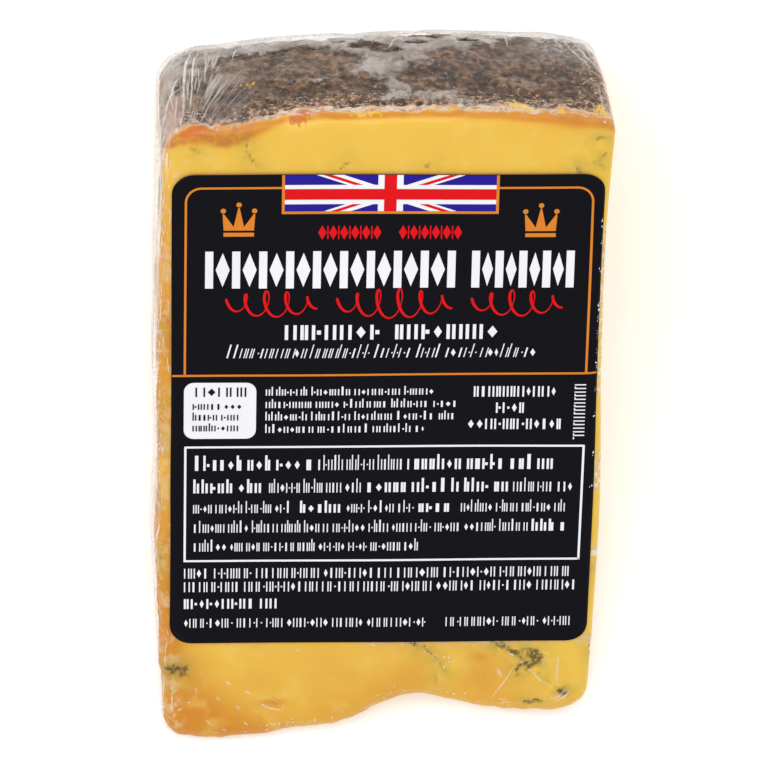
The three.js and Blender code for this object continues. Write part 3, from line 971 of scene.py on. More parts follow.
# %% Clear, mirroring and milky in one
def film_finish(finish, mirrored, gloss, haze_and_sheen, milk_and_sheen_colour):
    """A skin that is clear, mirrors by one share and is milky white by another, a white that is partly
    painted reflection and highlight.
    """
    see_through = finish.add("BsdfTransparent", {"Color": CLEAR})
    mirror = finish.add("BsdfGlossy", {"Color": CLEAR, **gloss})
    bare = finish.add("MixShader", {0: mirrored, 1: see_through.outputs[0], 2: mirror.outputs[0]})
    milk_and_sheen_layer = finish.add("BsdfDiffuse", {"Color": milk_and_sheen_colour})
    skin_shader = finish.add("MixShader", {0: haze_and_sheen, 1: bare.outputs[0], 2: milk_and_sheen_layer.outputs[0]})
    return finish.finish(skin_shader.outputs[0])


# The last of these colours is the cream of the painted glare over the right edge.
MILK_AND_SHEEN, END_MILK, EDGE_GLARE = (0.69, 0.645, 0.60), (0.92, 0.90, 0.87), (0.93, 0.84, 0.66)
MIRROR_HEAD_ON, MIRROR_AT_SLANT = 0.008, 0.17
crinkles = clear.times(clear.noise(0.9, 3, 0.6), clear.attribute("crinkle"))
film_relief = clear.math("MULTIPLY_ADD", crinkles, 0.9, clear.times(clear.noise(5, 2), 0.5))
film_normal = clear.bump(film_relief, 0.5, 0.8)
slant = clear.add("LayerWeight", {"Blend": 0.5, "Normal": film_normal}).outputs["Facing"]
mirrored = clear.math("MULTIPLY_ADD", clear.math("POWER", slant, 5.0), MIRROR_AT_SLANT, MIRROR_HEAD_ON)
milk_and_sheen_colour = clear.mix(clear.steps(on_end, 0.25, 0.8), MILK_AND_SHEEN, END_MILK)
milk_and_sheen_colour = clear.mix(right_edge_glare, milk_and_sheen_colour, EDGE_GLARE)
film_gloss = {"Roughness": 0.09, "Normal": film_normal}
film.data.materials.append(film_finish(clear, mirrored, film_gloss, haze_and_sheen, milk_and_sheen_colour))
clear.tell("film")

# %% [markdown]
# ## Creases in the film
#
# Where tight film is gathered or pinched it stands up in creases as thin as a thread, which show as fine
# pale lines. Their white is partly the pinched film's own and partly painted highlight, and the glints and
# specks made the same way are painted highlights only. The film's grid is too coarse for them, and a finer
# one would be huge. So each crease is a low ridge of its own along a path: a ray finds the film under each
# point, and the ridge's feet sink into it.

# %% Finding the film under a point
film_tree = BVHTree.FromPolygons(film_points.tolist(), grid_quads.tolist())
INTO_FACE = np.array([0, math.sin(WEDGE_ANGLE), -math.cos(WEDGE_ANGLE)])
INTO_WALL = np.array([0.0, -1.0, 0.0])
DOWN = np.array([0.0, 0.0, -1.0])


def on_film(point, inward):
    """Where a ray from well outside a point meets the film, and the way out there."""
    start = Vector(np.asarray(point) - 60 * inward)
    place, normal, _, _ = film_tree.ray_cast(start, Vector(inward))
    if place is None:
        return None, None
    normal = np.array(normal)
    return np.array(place), normal * (1 if normal @ inward < 0 else -1)


# %% One crease
RIDGE = [(-1.0, -0.03, 0.0), (-0.45, 0.6, 0.6), (0.0, 1.0, 1.0), (0.45, 0.6, 0.6), (1.0, -0.03, 0.0)]
crease_corners, crease_faces, crease_milk_and_glint = [], [], []


def crease(path, inward, width, height, milk):
    """A ridge along a path, thinner at its ends. The last argument is how white it is, 0 to 1, partly painted
    highlight.
    """
    path = np.array(path, float)
    marks = np.arange(len(path))
    length = np.linalg.norm(np.diff(path, axis=0), axis=1).sum()
    at = np.linspace(0, len(path) - 1, max(4, math.ceil(length / 0.35)))
    line = np.stack([curve_through(marks, path[:, axis])(at) for axis in range(3)], axis=1)
    line += 0.12 * min(1, length / 4) * np.stack([lumps(line, 2.5, 30 + axis) for axis in range(3)], axis=1)
    found = [on_film(point, inward) for point in line]
    found = [(place, out) for place, out in found if place is not None]
    if len(found) < 4:
        return
    middle, out = (np.array(part) for part in zip(*found))
    ahead = np.gradient(middle, axis=0)
    aside = np.cross(ahead, out)
    aside /= np.linalg.norm(aside, axis=1, keepdims=True)
    taper = np.sin(math.pi * np.linspace(0.06, 0.94, len(middle))) ** 0.6
    first = len(crease_corners)
    for place, side, up, share in zip(middle, aside, out, taper):
        for across, rise, white_weight in RIDGE:
            rise = rise * height * share if rise > 0 else rise
            crease_corners.append(place + side * across * width / 2 * share + up * rise)
            crease_milk_and_glint.append(white_weight * milk * share)
    rows = len(RIDGE)
    for row in range(len(middle) - 1):
        for column in range(rows - 1):
            a = first + row * rows + column
            crease_faces.append([a, a + rows, a + rows + 1, a + 1])


# %% Creases and glints over the upper face
# Paths as (x, distance from the axis), then width, height and whiteness.
FACE_CREASES = [
    ([(7.3, 23.3), (9.3, 21.5), (11.2, 19.6)], 0.22, 0.12, 0.5),
    ([(21.7, 19.5), (20.7, 17.7), (19.7, 16.0), (18.4, 14.1)], 0.32, 0.12, 0.5),
    ([(19.1, 19.5), (19.5, 18.7), (20.0, 17.9)], 0.75, 0.1, 0.45),
    ([(28.4, 21.7), (28.4, 19.0), (28.3, 16.7)], 0.5, 0.1, 0.3),
    ([(23.4, 19.8), (24.7, 18.5), (26.0, 17.1), (27.7, 16.0)], 0.3, 0.1, 0.4),
    ([(25.8, 21.1), (26.8, 20.6)], 0.3, 0.1, 0.4),
    ([(16.2, 24.4), (17.2, 24.2), (18.1, 23.6)], 0.3, 0.1, 0.5),
    ([(20.8, 22.2), (21.8, 21.5)], 0.4, 0.1, 0.6),
    ([(18.0, 25.3), (19.8, 23.3), (20.8, 22.2)], 0.2, 0.1, 0.4),
    ([(27.4, 13.6), (28.7, 14.3), (30.1, 15.6)], 0.6, 0.1, 0.4),
    ([(28.4, 13.4), (29.6, 14.2), (30.6, 15.4)], 0.5, 0.1, 0.4),
    ([(25.3, 17.6), (26.1, 16.9)], 0.45, 0.1, 0.45),
    ([(-19.6, 15.7), (-18.9, 15.4), (-18.4, 15.0)], 0.45, 0.12, 0.5),
    ([(-17.0, 13.3), (-15.3, 12.4), (-13.5, 12.2)], 0.35, 0.14, 0.6),
    ([(-13.5, 12.2), (-13.6, 12.9), (-14.8, 13.8), (-16.0, 14.5), (-16.8, 14.7)], 0.22, 0.1, 0.2),
    ([(-22.4, 17.4), (-21.6, 16.8)], 0.6, 0.1, 0.5),
    ([(-23.9, 14.5), (-23.2, 14.1)], 0.55, 0.1, 0.5),
    ([(-20.8, 13.0), (-20.1, 12.3)], 0.5, 0.1, 0.5),
    ([(-25.5, 10.5), (-24.4, 9.5)], 0.45, 0.1, 0.5),
    ([(-19.6, 10.2), (-19.0, 9.5)], 0.45, 0.1, 0.5),
    ([(-29.8, 12.3), (-29.1, 12.4)], 0.4, 0.1, 0.4),
    ([(-22.9, 8.9), (-22.2, 8.3)], 0.45, 0.1, 0.4),
    ([(-26.4, 18.8), (-25.7, 18.9)], 0.3, 0.1, 0.35),
    ([(-27.4, 16.6), (-26.9, 15.9), (-26.8, 14.8)], 0.35, 0.1, 0.3),
    ([(-11.8, 23.0), (-11.0, 22.7)], 0.5, 0.1, 0.4),
    ([(-0.6, 23.9), (0.6, 23.8)], 0.5, 0.1, 0.4),
    ([(-1.5, 11.9), (0.6, 13.2)], 0.8, 0.1, 0.18),
]
# Glints are the shortest creases, all white, painted highlights: x and distance from the axis.
GLINTS = [
    (11.0, 21.5), (11.7, 21.5), (11.7, 20.7), (4.5, 23.9), (6.1, 24.3), (7.9, 24.5), (16.5, 24.4),
    (22.9, 20.4), (-28.0, 13.7), (-30.7, 16.2), (-14.1, 9.6), (-16.0, 9.3), (-8.6, 10.2), (-6.0, 10.6),
    (12.6, 14.8), (21.3, 21.8), (11.0, 19.7), (-16.7, 13.2), (0.1, 23.8), (32.2, 113.0), (-12.0, 9.8),
    (1.9, 14.0),
]
GLINT_X, GLINT_RADIUS = 0.16, 0.1  # half a glint's extent
for path, width, height, milk in FACE_CREASES:
    crease([on_upper_face(*p) for p in path], INTO_FACE, width, height, milk)
for x, radius in GLINTS:
    glint_ends = (x - GLINT_X, radius + GLINT_RADIUS), (x + GLINT_X, radius - GLINT_RADIUS)
    crease([on_upper_face(*end) for end in glint_ends], INTO_FACE, 0.34, 0.1, 1.0)
print(len(FACE_CREASES), "creases and", len(GLINTS), "glints on the upper face")

# %% Pleats over the wall's corners
# Paths as (x, height from the axis), then width and whiteness.
WALL_CREASES = [
    ([(-27.2, 20), (-27.9, 25.5), (-28.7, 32.8), (-29.1, 43.0), (-29.3, 50.8)], 0.8, 0.7),
    ([(-26.2, 21.8), (-27.0, 27.9), (-27.5, 33.0), (-27.9, 42.3), (-28.2, 49.6)], 0.45, 0.75),
    ([(-25.4, 25.6), (-25.7, 34.7), (-25.9, 41.1)], 0.3, 0.6),
    ([(-25.1, 25.8), (-25.0, 30.8)], 0.3, 0.4),
    ([(-28.7, 32.8), (-29.6, 35.9), (-30.5, 38.6), (-31.6, 45.0), (-32.6, 50.2)], 0.4, 0.7),
    ([(-29.2, 39.4), (-30.2, 40.4), (-31.0, 41.5), (-32.2, 46.7), (-32.9, 51.3)], 0.35, 0.6),
    ([(-28.2, 17), (-29.6, 21.0), (-31.4, 27.2)], 0.7, 0.5),
    ([(-24.7, 27.9), (-24.2, 33.7)], 0.4, 0.4),
    ([(-29.4, 50.0), (-29.8, 52.7)], 0.35, 0.7),
    ([(-30.0, 41.5), (-30.3, 46.7), (-30.6, 51.5)], 0.35, 0.5),
    ([(-19.8, 20.9), (-18.8, 26.8)], 0.25, 0.4),
    ([(-17.0, 19), (-16.8, 21.9), (-16.0, 26.9)], 0.25, 0.4),
    ([(-30.7, 20.9), (-31.9, 28.2)], 0.5, 0.5),
    ([(-31.8, 48.4), (-32.4, 53.8)], 0.35, 0.6),
    ([(-26.7, 32.3), (-26.7, 41.6)], 0.3, 0.45),
    ([(28.9, 19.0), (30.4, 30.8), (32.1, 38.6)], 0.5, 0.5),
    ([(30.3, 19.4), (31.6, 30.6), (33.1, 38.6)], 0.6, 0.5),
    ([(31.5, 19.8), (32.6, 29.8), (33.5, 36.4)], 0.4, 0.5),
    ([(27.6, 17.6), (28.2, 23.7), (28.8, 28.0)], 0.35, 0.4),
    ([(31.9, 41.6), (32.3, 48.7), (32.4, 54.6)], 0.4, 0.35),
]
WALL_CREASE_HEIGHT = 0.16


def facing_wall(x, z):
    """A point somewhere in front of the wall, from which a ray finds the film."""
    return (x, 100, z)


for path, width, milk in WALL_CREASES:
    crease([facing_wall(*p) for p in path], INTO_WALL, width, WALL_CREASE_HEIGHT, milk)
print(len(WALL_CREASES), "creases on the wall")

# %% Small creases by a seeded draw
CREASE_COUNTS = {"left_edge": 46, "low_wall": 40, "each_side": 46, "wall_glints": 170, "tip_glints": 46}
crease_draws = np.random.default_rng(23)


def short_line(place, a, b, turn, ahead, back=0.0):
    """Both ends of a line on a face: how far it runs ahead and back from a and b, turned that way."""
    return [place(a + way * math.cos(turn), b + way * math.sin(turn)) for way in (-back, ahead)]


LEFT_EDGE, ABOVE_PACK, BESIDE_PACK = -33.3, 80, 30  # mm; rays start above or beside the pack
# Along the left edge the creases are painted highlights: white streaks for the film's glints there.
for _ in range(CREASE_COUNTS["left_edge"]):
    y, length = crease_draws.uniform(8, 94), crease_draws.uniform(0.6, 3.2)
    x = LEFT_EDGE + abs(crease_draws.normal(0, 0.8)) - float(left_bow(y / math.cos(WEDGE_ANGLE)))
    lean = crease_draws.normal(0, 0.12)
    milk = crease_draws.uniform(0.35, 0.9)
    ends = [(x, y, ABOVE_PACK), (x + lean * length, y + length, ABOVE_PACK)]
    crease(ends, DOWN, crease_draws.uniform(0.15, 0.35), 0.1, milk)
for _ in range(CREASE_COUNTS["low_wall"]):
    x, z = crease_draws.uniform(-32, 32), crease_draws.uniform(3, 24)
    length, turn = crease_draws.uniform(2, 8), crease_draws.normal(math.pi / 2, 0.5)
    ends = short_line(facing_wall, x, z, turn, length)
    crease(ends, INTO_WALL, crease_draws.uniform(0.2, 0.5), 0.12, crease_draws.uniform(0.3, 0.7))
print("ridges so far have", len(crease_faces), "faces")

# %% Creases on the flat end and on the cut at the right
for side in (-1, 1):
    for _ in range(CREASE_COUNTS["each_side"]):
        radius = DRUM_RADIUS * math.sqrt(crease_draws.uniform(0.05, 0.9))
        angle = crease_draws.uniform(0.1, 0.9) * WEDGE_ANGLE
        y, z = radius * math.cos(angle), radius * math.sin(angle)
        length, turn = crease_draws.uniform(2, 12), crease_draws.normal(0.2, 0.5)
        ends = short_line(lambda y, z: (BESIDE_PACK * side, y, z), y, z, turn, length)
        milk = crease_draws.uniform(0.2, 0.6)
        crease(ends, np.array([-1.0 * side, 0, 0]), crease_draws.uniform(0.2, 0.5), 0.12, milk)

# %% Painted highlights: bright specks where the film touches the crust and the broken tip
for _ in range(CREASE_COUNTS["wall_glints"]):
    x, z = crease_draws.normal(0, 13), crease_draws.uniform(18, 56)
    turn, half = crease_draws.uniform(0, math.pi), crease_draws.uniform(0.1, 0.28)
    if abs(x) < 32:
        ends = short_line(facing_wall, x, z, turn, half, half)
        crease(ends, INTO_WALL, 0.22, 0.08, crease_draws.uniform(0.35, 0.9))
for _ in range(CREASE_COUNTS["tip_glints"]):
    x = crease_draws.uniform(-24, 30)
    radius = float(tip_reach(np.array(x))) * 1.1 + crease_draws.uniform(0.2, 1.8)
    turn, half = crease_draws.uniform(-0.4, 1.2), crease_draws.uniform(0.12, 0.4)
    ends = short_line(on_upper_face, x, radius, turn, half, half)
    crease(ends, INTO_FACE, 0.24, 0.08, crease_draws.uniform(0.3, 0.8))
creases = mesh_object("film_creases", np.array(crease_corners), crease_faces, {"milk": crease_milk_and_glint})

# %% The creases' finish
pinched = Finish("pinched film")
# The creases' white is partly the pinched film's own and partly painted highlight; in glints and specks it is
# all painted highlight.
milk_and_glint_tone = pinched.mix(pinched.noise(3, 2), (0.93, 0.86, 0.80), (0.96, 0.94, 0.92))
uneven = pinched.steps(pinched.noise(1.1, 3), 0.25, 0.6, (0.45, 1.0))
milk_and_glint_here = pinched.times(pinched.attribute("milk"), uneven)
creases.data.materials.append(film_finish(pinched, 0.04, {"Roughness": 0.12}, milk_and_glint_here, milk_and_glint_tone))

# %% All three stand for the wrapped wedge
for piece in (cheese, film, creases):
    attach(piece, "root")
    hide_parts("cheese_in_film")

# %% [markdown]
# ## The label's paper
#
# The label is a sheet with rounded corners, laid over the film. It could be a flat plane, but it has to
# follow the cheese's waves and bend over the rounded right edge, so a flat grid of the label's own shape
# is laid on the wedge by the same formula. Its cut edge isn't printed, so it gets a finish of its own.

# %% Laying flat things on the upper face
LABEL = {"width": 63.7, "height": 80.4, "corner": 3.2, "left": -31.0, "top": 104.9}
LABEL_UNDERSIDE, LABEL_FACE = 0.18, 0.36  # mm over the smooth skin


def laid_on_face(u, v, height):
    """Points over the upper cut face, from mm right of the label's left edge and mm down from its top."""
    x, radius = LABEL["left"] + np.asarray(u, float), LABEL["top"] - np.asarray(v, float)
    across = across_at(x, radius)
    there = wedge_skin(across, along_at(across, radius), np.ones(len(x)))
    lift = swelling(there["points"]) + height
    return there["points"] + there["outward"] * lift[:, None]


# %% The sheet
def label_sheet():
    """A grid over the rounded rectangle: rows are shorter where the corners are round."""
    corner, width, height = LABEL["corner"], LABEL["width"], LABEL["height"]
    top_rows = corner * (1 - np.cos(np.linspace(0, math.pi / 2, 8)))
    middle_rows = np.linspace(corner, height - corner, 50)
    rows = np.concatenate([top_rows[:-1], middle_rows, height - top_rows[-2::-1]])
    to_end = np.minimum(rows, height - rows)
    inset = corner - np.sqrt(np.maximum(corner**2 - np.maximum(corner - to_end, 0) ** 2, 0))
    shares = np.concatenate([np.linspace(0, 0.94, 36)[:-1], np.linspace(0.94, 1, 9)])  # close at the bend
    u = inset[:, None] + shares[None, :] * (width - 2 * inset)[:, None]
    v = np.repeat(rows[:, None], len(shares), axis=1)
    return u, v


sheet_u, sheet_v = label_sheet()
count = sheet_u.size
grid = np.arange(count).reshape(sheet_u.shape)
face_quads = np.stack([grid[1:, :-1], grid[1:, 1:], grid[:-1, 1:], grid[:-1, :-1]], axis=-1).reshape(-1, 4)
rim = np.concatenate([grid[0, :-1], grid[:-1, -1], grid[-1, :0:-1], grid[:0:-1, 0]])
next_rim = np.roll(rim, -1)
rim_quads = np.stack([rim, next_rim, next_rim + count, rim + count], axis=-1)
both_sides = [laid_on_face(sheet_u.ravel(), sheet_v.ravel(), lift) for lift in (LABEL_FACE, LABEL_UNDERSIDE)]
label = mesh_object(
    "label_paper",
    np.concatenate(both_sides),
    np.concatenate([face_quads, face_quads[:, ::-1] + count, rim_quads]),
)
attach(label, "root")
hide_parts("label")

# %% [markdown]
# ## Print
#
# A label's print could be a picture on the sheet, but a picture blurs when looked at closely, and this
# part has none. So each colour is a thin sheet of its own: flat shapes given in millimetres on the label,
# laid on it a hundredth of a millimetre up, so that they bend with it. Where the real one has words, there
# are plain blocks in rows of the same height, length and weight.


# %% One colour of ink
LONGEST_PIECE = 2.2  # mm of a straight edge that need not bend


class Ink:
    """Collects flat shapes in label millimetres, u to the right and v down, and lays them as one piece."""

    def __init__(self, name, height):
        self.name = name
        self.height = height
        self.corners = []
        self.faces = []

    def polygon(self, corners):
        """A small convex shape, turned over if its corners run the wrong way round."""
        u, v = np.array(corners, float).T
        turns = float(np.sum(u * np.roll(v, -1) - np.roll(u, -1) * v))
        if abs(turns) < 1e-6:
            return
        ordered = corners if turns < 0 else corners[::-1]
        self.faces.append(list(range(len(self.corners), len(self.corners) + len(corners))))
        self.corners += [(*c, 0.0) for c in ordered]

    def block(self, u0, v0, u1, v1, slant=0.0, foot=0.0):
        """A rectangle, leaning from its foot line, in pieces small enough to bend with the label."""
        columns = max(1, math.ceil((u1 - u0) / LONGEST_PIECE))
        rows = max(1, math.ceil((v1 - v0) / LONGEST_PIECE))
        first = len(self.corners)
        for v in np.linspace(v0, v1, rows + 1):
            lean = slant * (foot - v)
            self.corners += [(u + lean, v, 0.0) for u in np.linspace(u0, u1, columns + 1)]
        for row in range(rows):
            for column in range(columns):
                a = first + row * (columns + 1) + column
                b = a + columns + 1
                self.faces.append([b, b + 1, a + 1, a])

    def ribbon(self, path, width, rise=0.0):
        """A line of that width. Width and rise, in mm, may be one number or one for each point."""
        path = np.array(path, float)
        ahead = np.gradient(path, axis=0)
        aside = np.stack([-ahead[:, 1], ahead[:, 0]], axis=1)
        aside *= (np.broadcast_to(width, len(path)) / 2 / np.linalg.norm(aside, axis=1))[:, None]
        first = len(self.corners)
        for left, right, up in zip(path - aside, path + aside, np.broadcast_to(rise, len(path))):
            self.corners += [(*left, up), (*right, up)]
        for a in range(first, first + 2 * len(path) - 2, 2):
            self.faces.append([a + 1, a + 3, a + 2, a])

    def lay(self, material):
        """Makes one object of all that was collected, on the label."""
        u, v, rise = np.array(self.corners).T
        piece = mesh_object(self.name, laid_on_face(u, v, self.height + rise), self.faces)
        piece.data.materials.append(material)
        return piece


INK_STEP = 0.014  # mm between one ink and the next
inks = {
    name: Ink("ink_" + name, LABEL_FACE + INK_STEP * (order + 1))
    for order, name in enumerate(["blue", "white", "red", "orange", "black"])
}
blue, white, red, orange, black = inks.values()

# %% [markdown]
# ## The label's frame, flag and ornaments
#
# The upper part has a thin orange line with rounded corners and a band with crossed stripes at its top.
# The stripes run into the band's corners, so each is a strip cut off at the band's edges by `cut_to`.


# %% Lines with rounded corners
def corner_arc(centre, radius, start, end, count=7):
    """Points of a round corner. Angles are in degrees, clockwise from the right as seen on the label."""
    turns = np.radians(np.linspace(start, end, count))
    return [(centre[0] + radius * math.cos(t), centre[1] + radius * math.sin(t)) for t in turns]


def straight(a, b, step=2.0):
    """Points of a straight line, close enough together for it to bend with the label."""
    count = max(2, math.ceil(math.dist(a, b) / step) + 1)
    return [tuple(p) for p in np.linspace(a, b, count)]


def round_corner(shape, side, end, start):
    """One corner of a shape that is given by its edges and its corners' radius."""
    inward = {"left": 1, "right": -1, "top": 1, "bottom": -1}
    centre = (shape[side] + inward[side] * shape["corner"], shape[end] + inward[end] * shape["corner"])
    return corner_arc(centre, shape["corner"], start, start + 90)


KEYLINE = {"left": 2.0, "right": 61.9, "top": 2.2, "bottom": 33.6, "corner": 2.3, "width": 0.34}
FLAG = {"left": 16.5, "right": 47.6, "top": 0.1, "bottom": 6.1, "edge": 0.42}

# %% The orange lines
left_arc = round_corner(KEYLINE, "left", "top", 180)
right_arc = round_corner(KEYLINE, "right", "top", 270)
flag_left = (FLAG["left"] - FLAG["edge"], KEYLINE["top"])
flag_right = (FLAG["right"] + FLAG["edge"], KEYLINE["top"])
up_the_left = straight((KEYLINE["left"], KEYLINE["bottom"]), left_arc[0])[:-1]
down_the_right = straight(right_arc[-1], (KEYLINE["right"], KEYLINE["bottom"]))[1:]
orange.ribbon(up_the_left + left_arc + straight(left_arc[-1], flag_left)[1:], KEYLINE["width"])
orange.ribbon(straight(flag_right, right_arc[0])[:-1] + right_arc + down_the_right, KEYLINE["width"])
level_line = straight((0.12, KEYLINE["bottom"] + 0.1), (63.5, KEYLINE["bottom"] - 0.1), 1.0)
orange.ribbon(level_line, KEYLINE["width"])
flag_foot = FLAG["bottom"] + FLAG["edge"]
for side in (FLAG["left"] - FLAG["edge"], FLAG["right"]):
    orange.block(side, FLAG["top"], side + FLAG["edge"], flag_foot)
orange.block(FLAG["left"], FLAG["bottom"], FLAG["right"], flag_foot)
print("orange shapes:", len(orange.faces))


# %% The flag
def cut_to(corners, u0, v0, u1, v1):
    """Cuts a convex shape to a rectangle, one side at a time."""
    for axis, limit, keep in ((0, u0, 1), (0, u1, -1), (1, v0, 1), (1, v1, -1)):
        kept = []
        for a, b in zip(corners, corners[1:] + corners[:1]):
            inside_a, inside_b = keep * (a[axis] - limit) >= 0, keep * (b[axis] - limit) >= 0
            if inside_a:
                kept.append(a)
            if inside_a != inside_b:
                t = (limit - a[axis]) / (b[axis] - a[axis])
                kept.append((a[0] + t * (b[0] - a[0]), a[1] + t * (b[1] - a[1])))
        corners = kept
        if not corners:
            break
    return corners


def diagonal(ink, corner, width, shift, area):
    """A stripe from outside a corner of the flag to its middle, cut to one quarter, in short pieces."""
    ahead = np.array(FLAG_MIDDLE) - np.array(corner)
    aside = np.array([-ahead[1], ahead[0]]) / np.linalg.norm(ahead)
    low, high = aside * (shift - width / 2), aside * (shift + width / 2)
    for t in np.linspace(-0.4, 0.9, 14):
        a, b = corner + ahead * t, corner + ahead * (t + 0.1)
        piece = cut_to([tuple(a + low), tuple(b + low), tuple(b + high), tuple(a + high)], *area)
        if len(piece) > 2:
            ink.polygon(piece)


# %% The flag's stripes
FLAG_MIDDLE = ((FLAG["left"] + FLAG["right"]) / 2, 3.3)
UPRIGHT = (30.2, 31.1, 32.95, 33.9)  # edges of the upright stripes: white, red, white
LEVEL = (1.75, 2.42, 4.18, 4.92)
TO_CORNER = (9.2, 3.3)  # from the middle, how a diagonal stripe runs
WHITE_STRIPE, RED_STRIPE, RED_OFF_MIDDLE = 1.35, 0.45, 0.12
blue.block(FLAG["left"], FLAG["top"], FLAG["right"], FLAG["bottom"])
for (u0, u1), to_right in (((FLAG["left"], UPRIGHT[0]), -1), ((UPRIGHT[3], FLAG["right"]), 1)):
    for (v0, v1), down in (((FLAG["top"], LEVEL[0]), -1), ((LEVEL[3], FLAG["bottom"]), 1)):
        corner = np.add(FLAG_MIDDLE, (to_right * TO_CORNER[0], down * TO_CORNER[1]))
        diagonal(white, corner, WHITE_STRIPE, 0.0, (u0, v0, u1, v1))
        diagonal(red, corner, RED_STRIPE, RED_OFF_MIDDLE * to_right * down, (u0, v0, u1, v1))
for v0, v1 in (LEVEL[:2], LEVEL[2:]):
    white.block(FLAG["left"], v0, UPRIGHT[1], v1)
    white.block(UPRIGHT[2], v0, FLAG["right"], v1)
for u0, u1 in (UPRIGHT[:2], UPRIGHT[2:]):
    white.block(u0, FLAG["top"], u1, LEVEL[0])
    white.block(u0, LEVEL[3], u1, FLAG["bottom"])
red.block(FLAG["left"], LEVEL[1], FLAG["right"], LEVEL[2])
for v0, v1 in ((FLAG["top"], LEVEL[1]), (LEVEL[2], FLAG["bottom"])):
    red.block(UPRIGHT[1], v0, UPRIGHT[2], v1)
print("the flag's white and red shapes:", len(white.faces), "and", len(red.faces))


# %% Small crowns left and right
def crown(ink, middle, top):
    """A crown with three points and three beads, about 5 mm wide, on two bands."""
    for aside, drop in ((-2.3, 1.2), (0.0, 0.2), (2.3, 1.2)):
        u, v = middle + aside, top + drop
        foot, foot_v = middle + aside * 0.66, top + 3.7
        ink.polygon([(foot - 0.76, foot_v), (foot + 0.76, foot_v), (u + 0.1, v + 0.35), (u - 0.1, v + 0.35)])
        ink.polygon(corner_arc((u, v - 0.15), 0.42, 0, 315, 8))
    for band_top, band_base in ((3.7, 4.3), (4.65, 5.3)):
        ink.block(middle - 2.25, top + band_top, middle + 2.25, top + band_base)


crown(orange, 9.8, 4.9)
crown(orange, 54.3, 5.1)

# %% [markdown]
# ## Rows of strokes
#
# Set lines are all alike: words of a few letters, some letters taller than others, a space between words.
# One function draws such a line from its place, its letters' size and a seeded draw, with upright strokes
# and dashes that never join, so the row is as dense as print but says nothing. The big title gets
# heavy bars with lozenges between them, and the flowing line a row of loops.

# %% A set line
print_draws = np.random.default_rng(4)


def lozenge(ink, u, v, half_width, half_height):
    """A square that stands on its tip."""
    ink.polygon([(u - half_width, v), (u, v + half_height), (u + half_width, v), (u, v - half_height)])


def set_line(ink, u0, u1, top, base, letter, stroke, slant=0.0, words=(3, 9), tall_share=0.35):
    """Strokes and dashes from u0 to u1. Short ones are seven tenths of the height, tall ones all of it."""
    u, left_in_word = u0, int(print_draws.integers(*words))
    low = top if tall_share == 1 else top + (base - top) * 0.3
    while u < u1 - letter * 0.5:
        width = min(letter * print_draws.uniform(0.75, 1.25), u1 - u)
        high = top if print_draws.random() < tall_share else low
        kind = int(print_draws.integers(6))
        end, middle = u + width, (low + base) / 2
        if kind == 2:
            lozenge(ink, (u + end) / 2, middle, width * 0.42, (base - low) * 0.4)
        elif kind == 3:
            ink.block(u, high, u + stroke, base, slant, base)
            ink.block(end - stroke * 1.2, middle - stroke * 0.7, end, middle + stroke * 0.7, slant, base)
        elif kind == 4:
            ink.block(u + width * 0.2, high, u + width * 0.2 + stroke * 1.5, base, slant, base)
        else:
            ink.block(u, high, u + stroke, base, slant, base)
            ink.block(end - stroke, low, end, base, slant, base)
        u = end + stroke * 1.1
        left_in_word -= 1
        if left_in_word == 0:
            u += letter * 0.6
            left_in_word = int(print_draws.integers(*words))


# %% The title's row
def title_row(ink, u0, u1, top, base, count, bar=1.2):
    """Heavy upright bars with a tall lozenge between each two."""
    pitch = (u1 - u0 - bar) / (count - 1)
    middle, half_height = (top + base) / 2, (base - top) * 0.46
    for number in range(count):
        left = u0 + number * pitch
        ink.block(left, top, left + bar, base)
        if number < count - 1:
            lozenge(ink, left + (bar + pitch) / 2, middle, (pitch - bar) / 2 - 0.35, half_height)


# %% The upper part's rows
CAPITALS = {"words": (20, 21), "tall_share": 1}  # one long word, all its letters tall
title_row(white, 4.9, 41.9, 12.7, 18.9, 10)
title_row(white, 44.3, 59.5, 12.7, 18.9, 5)
LOZENGES, LOZENGE_PITCH = 6, 1.62
for first in (22.1, 34.0):
    for number in range(LOZENGES):
        u = first + number * LOZENGE_PITCH
        lozenge(red, u, 9.6, 0.62, 1.2)
        if number < LOZENGES - 1:
            red.block(u + 0.72, 8.5, u + 0.92, 10.7)
for u0, u1 in ((16.8, 31.2), (33.2, 49.2)):
    set_line(white, u0, u1, 25.1, 27.6, 1.45, 0.5, **CAPITALS)
set_line(white, 8.0, 54.6, 28.4, 30.7, 0.8, 0.16, slant=0.25, words=(4, 10), tall_share=0.3)
print("white shapes with the upper part's rows:", len(white.faces))


# %% Red loops, thick going down and thin going up
def loops(ink, u0, u1, middle, height, count):
    """A line of loops. Where it crosses itself, one strand rises a little over the other."""
    t = np.linspace(0, 1, int(count * 22) + 1)
    turn = 2 * math.pi * count * t
    swell = 0.35 + 0.65 * np.sin(math.pi * t)
    u = u0 + (u1 - u0) * t - 1.0 * swell * np.sin(turn)
    v = middle - height / 2 * swell * np.cos(turn)
    ink.ribbon(np.stack([u, v], axis=1), 0.30 + 0.14 * np.sin(turn), rise=0.006 * np.sin(turn))


for u0, u1, height, count in ((8.0, 21.6, 4.4, 4.5), (24.4, 41.6, 5.0, 5.5), (44.4, 58.0, 4.4, 4.5)):
    loops(red, u0, u1, 21.5, height, count)

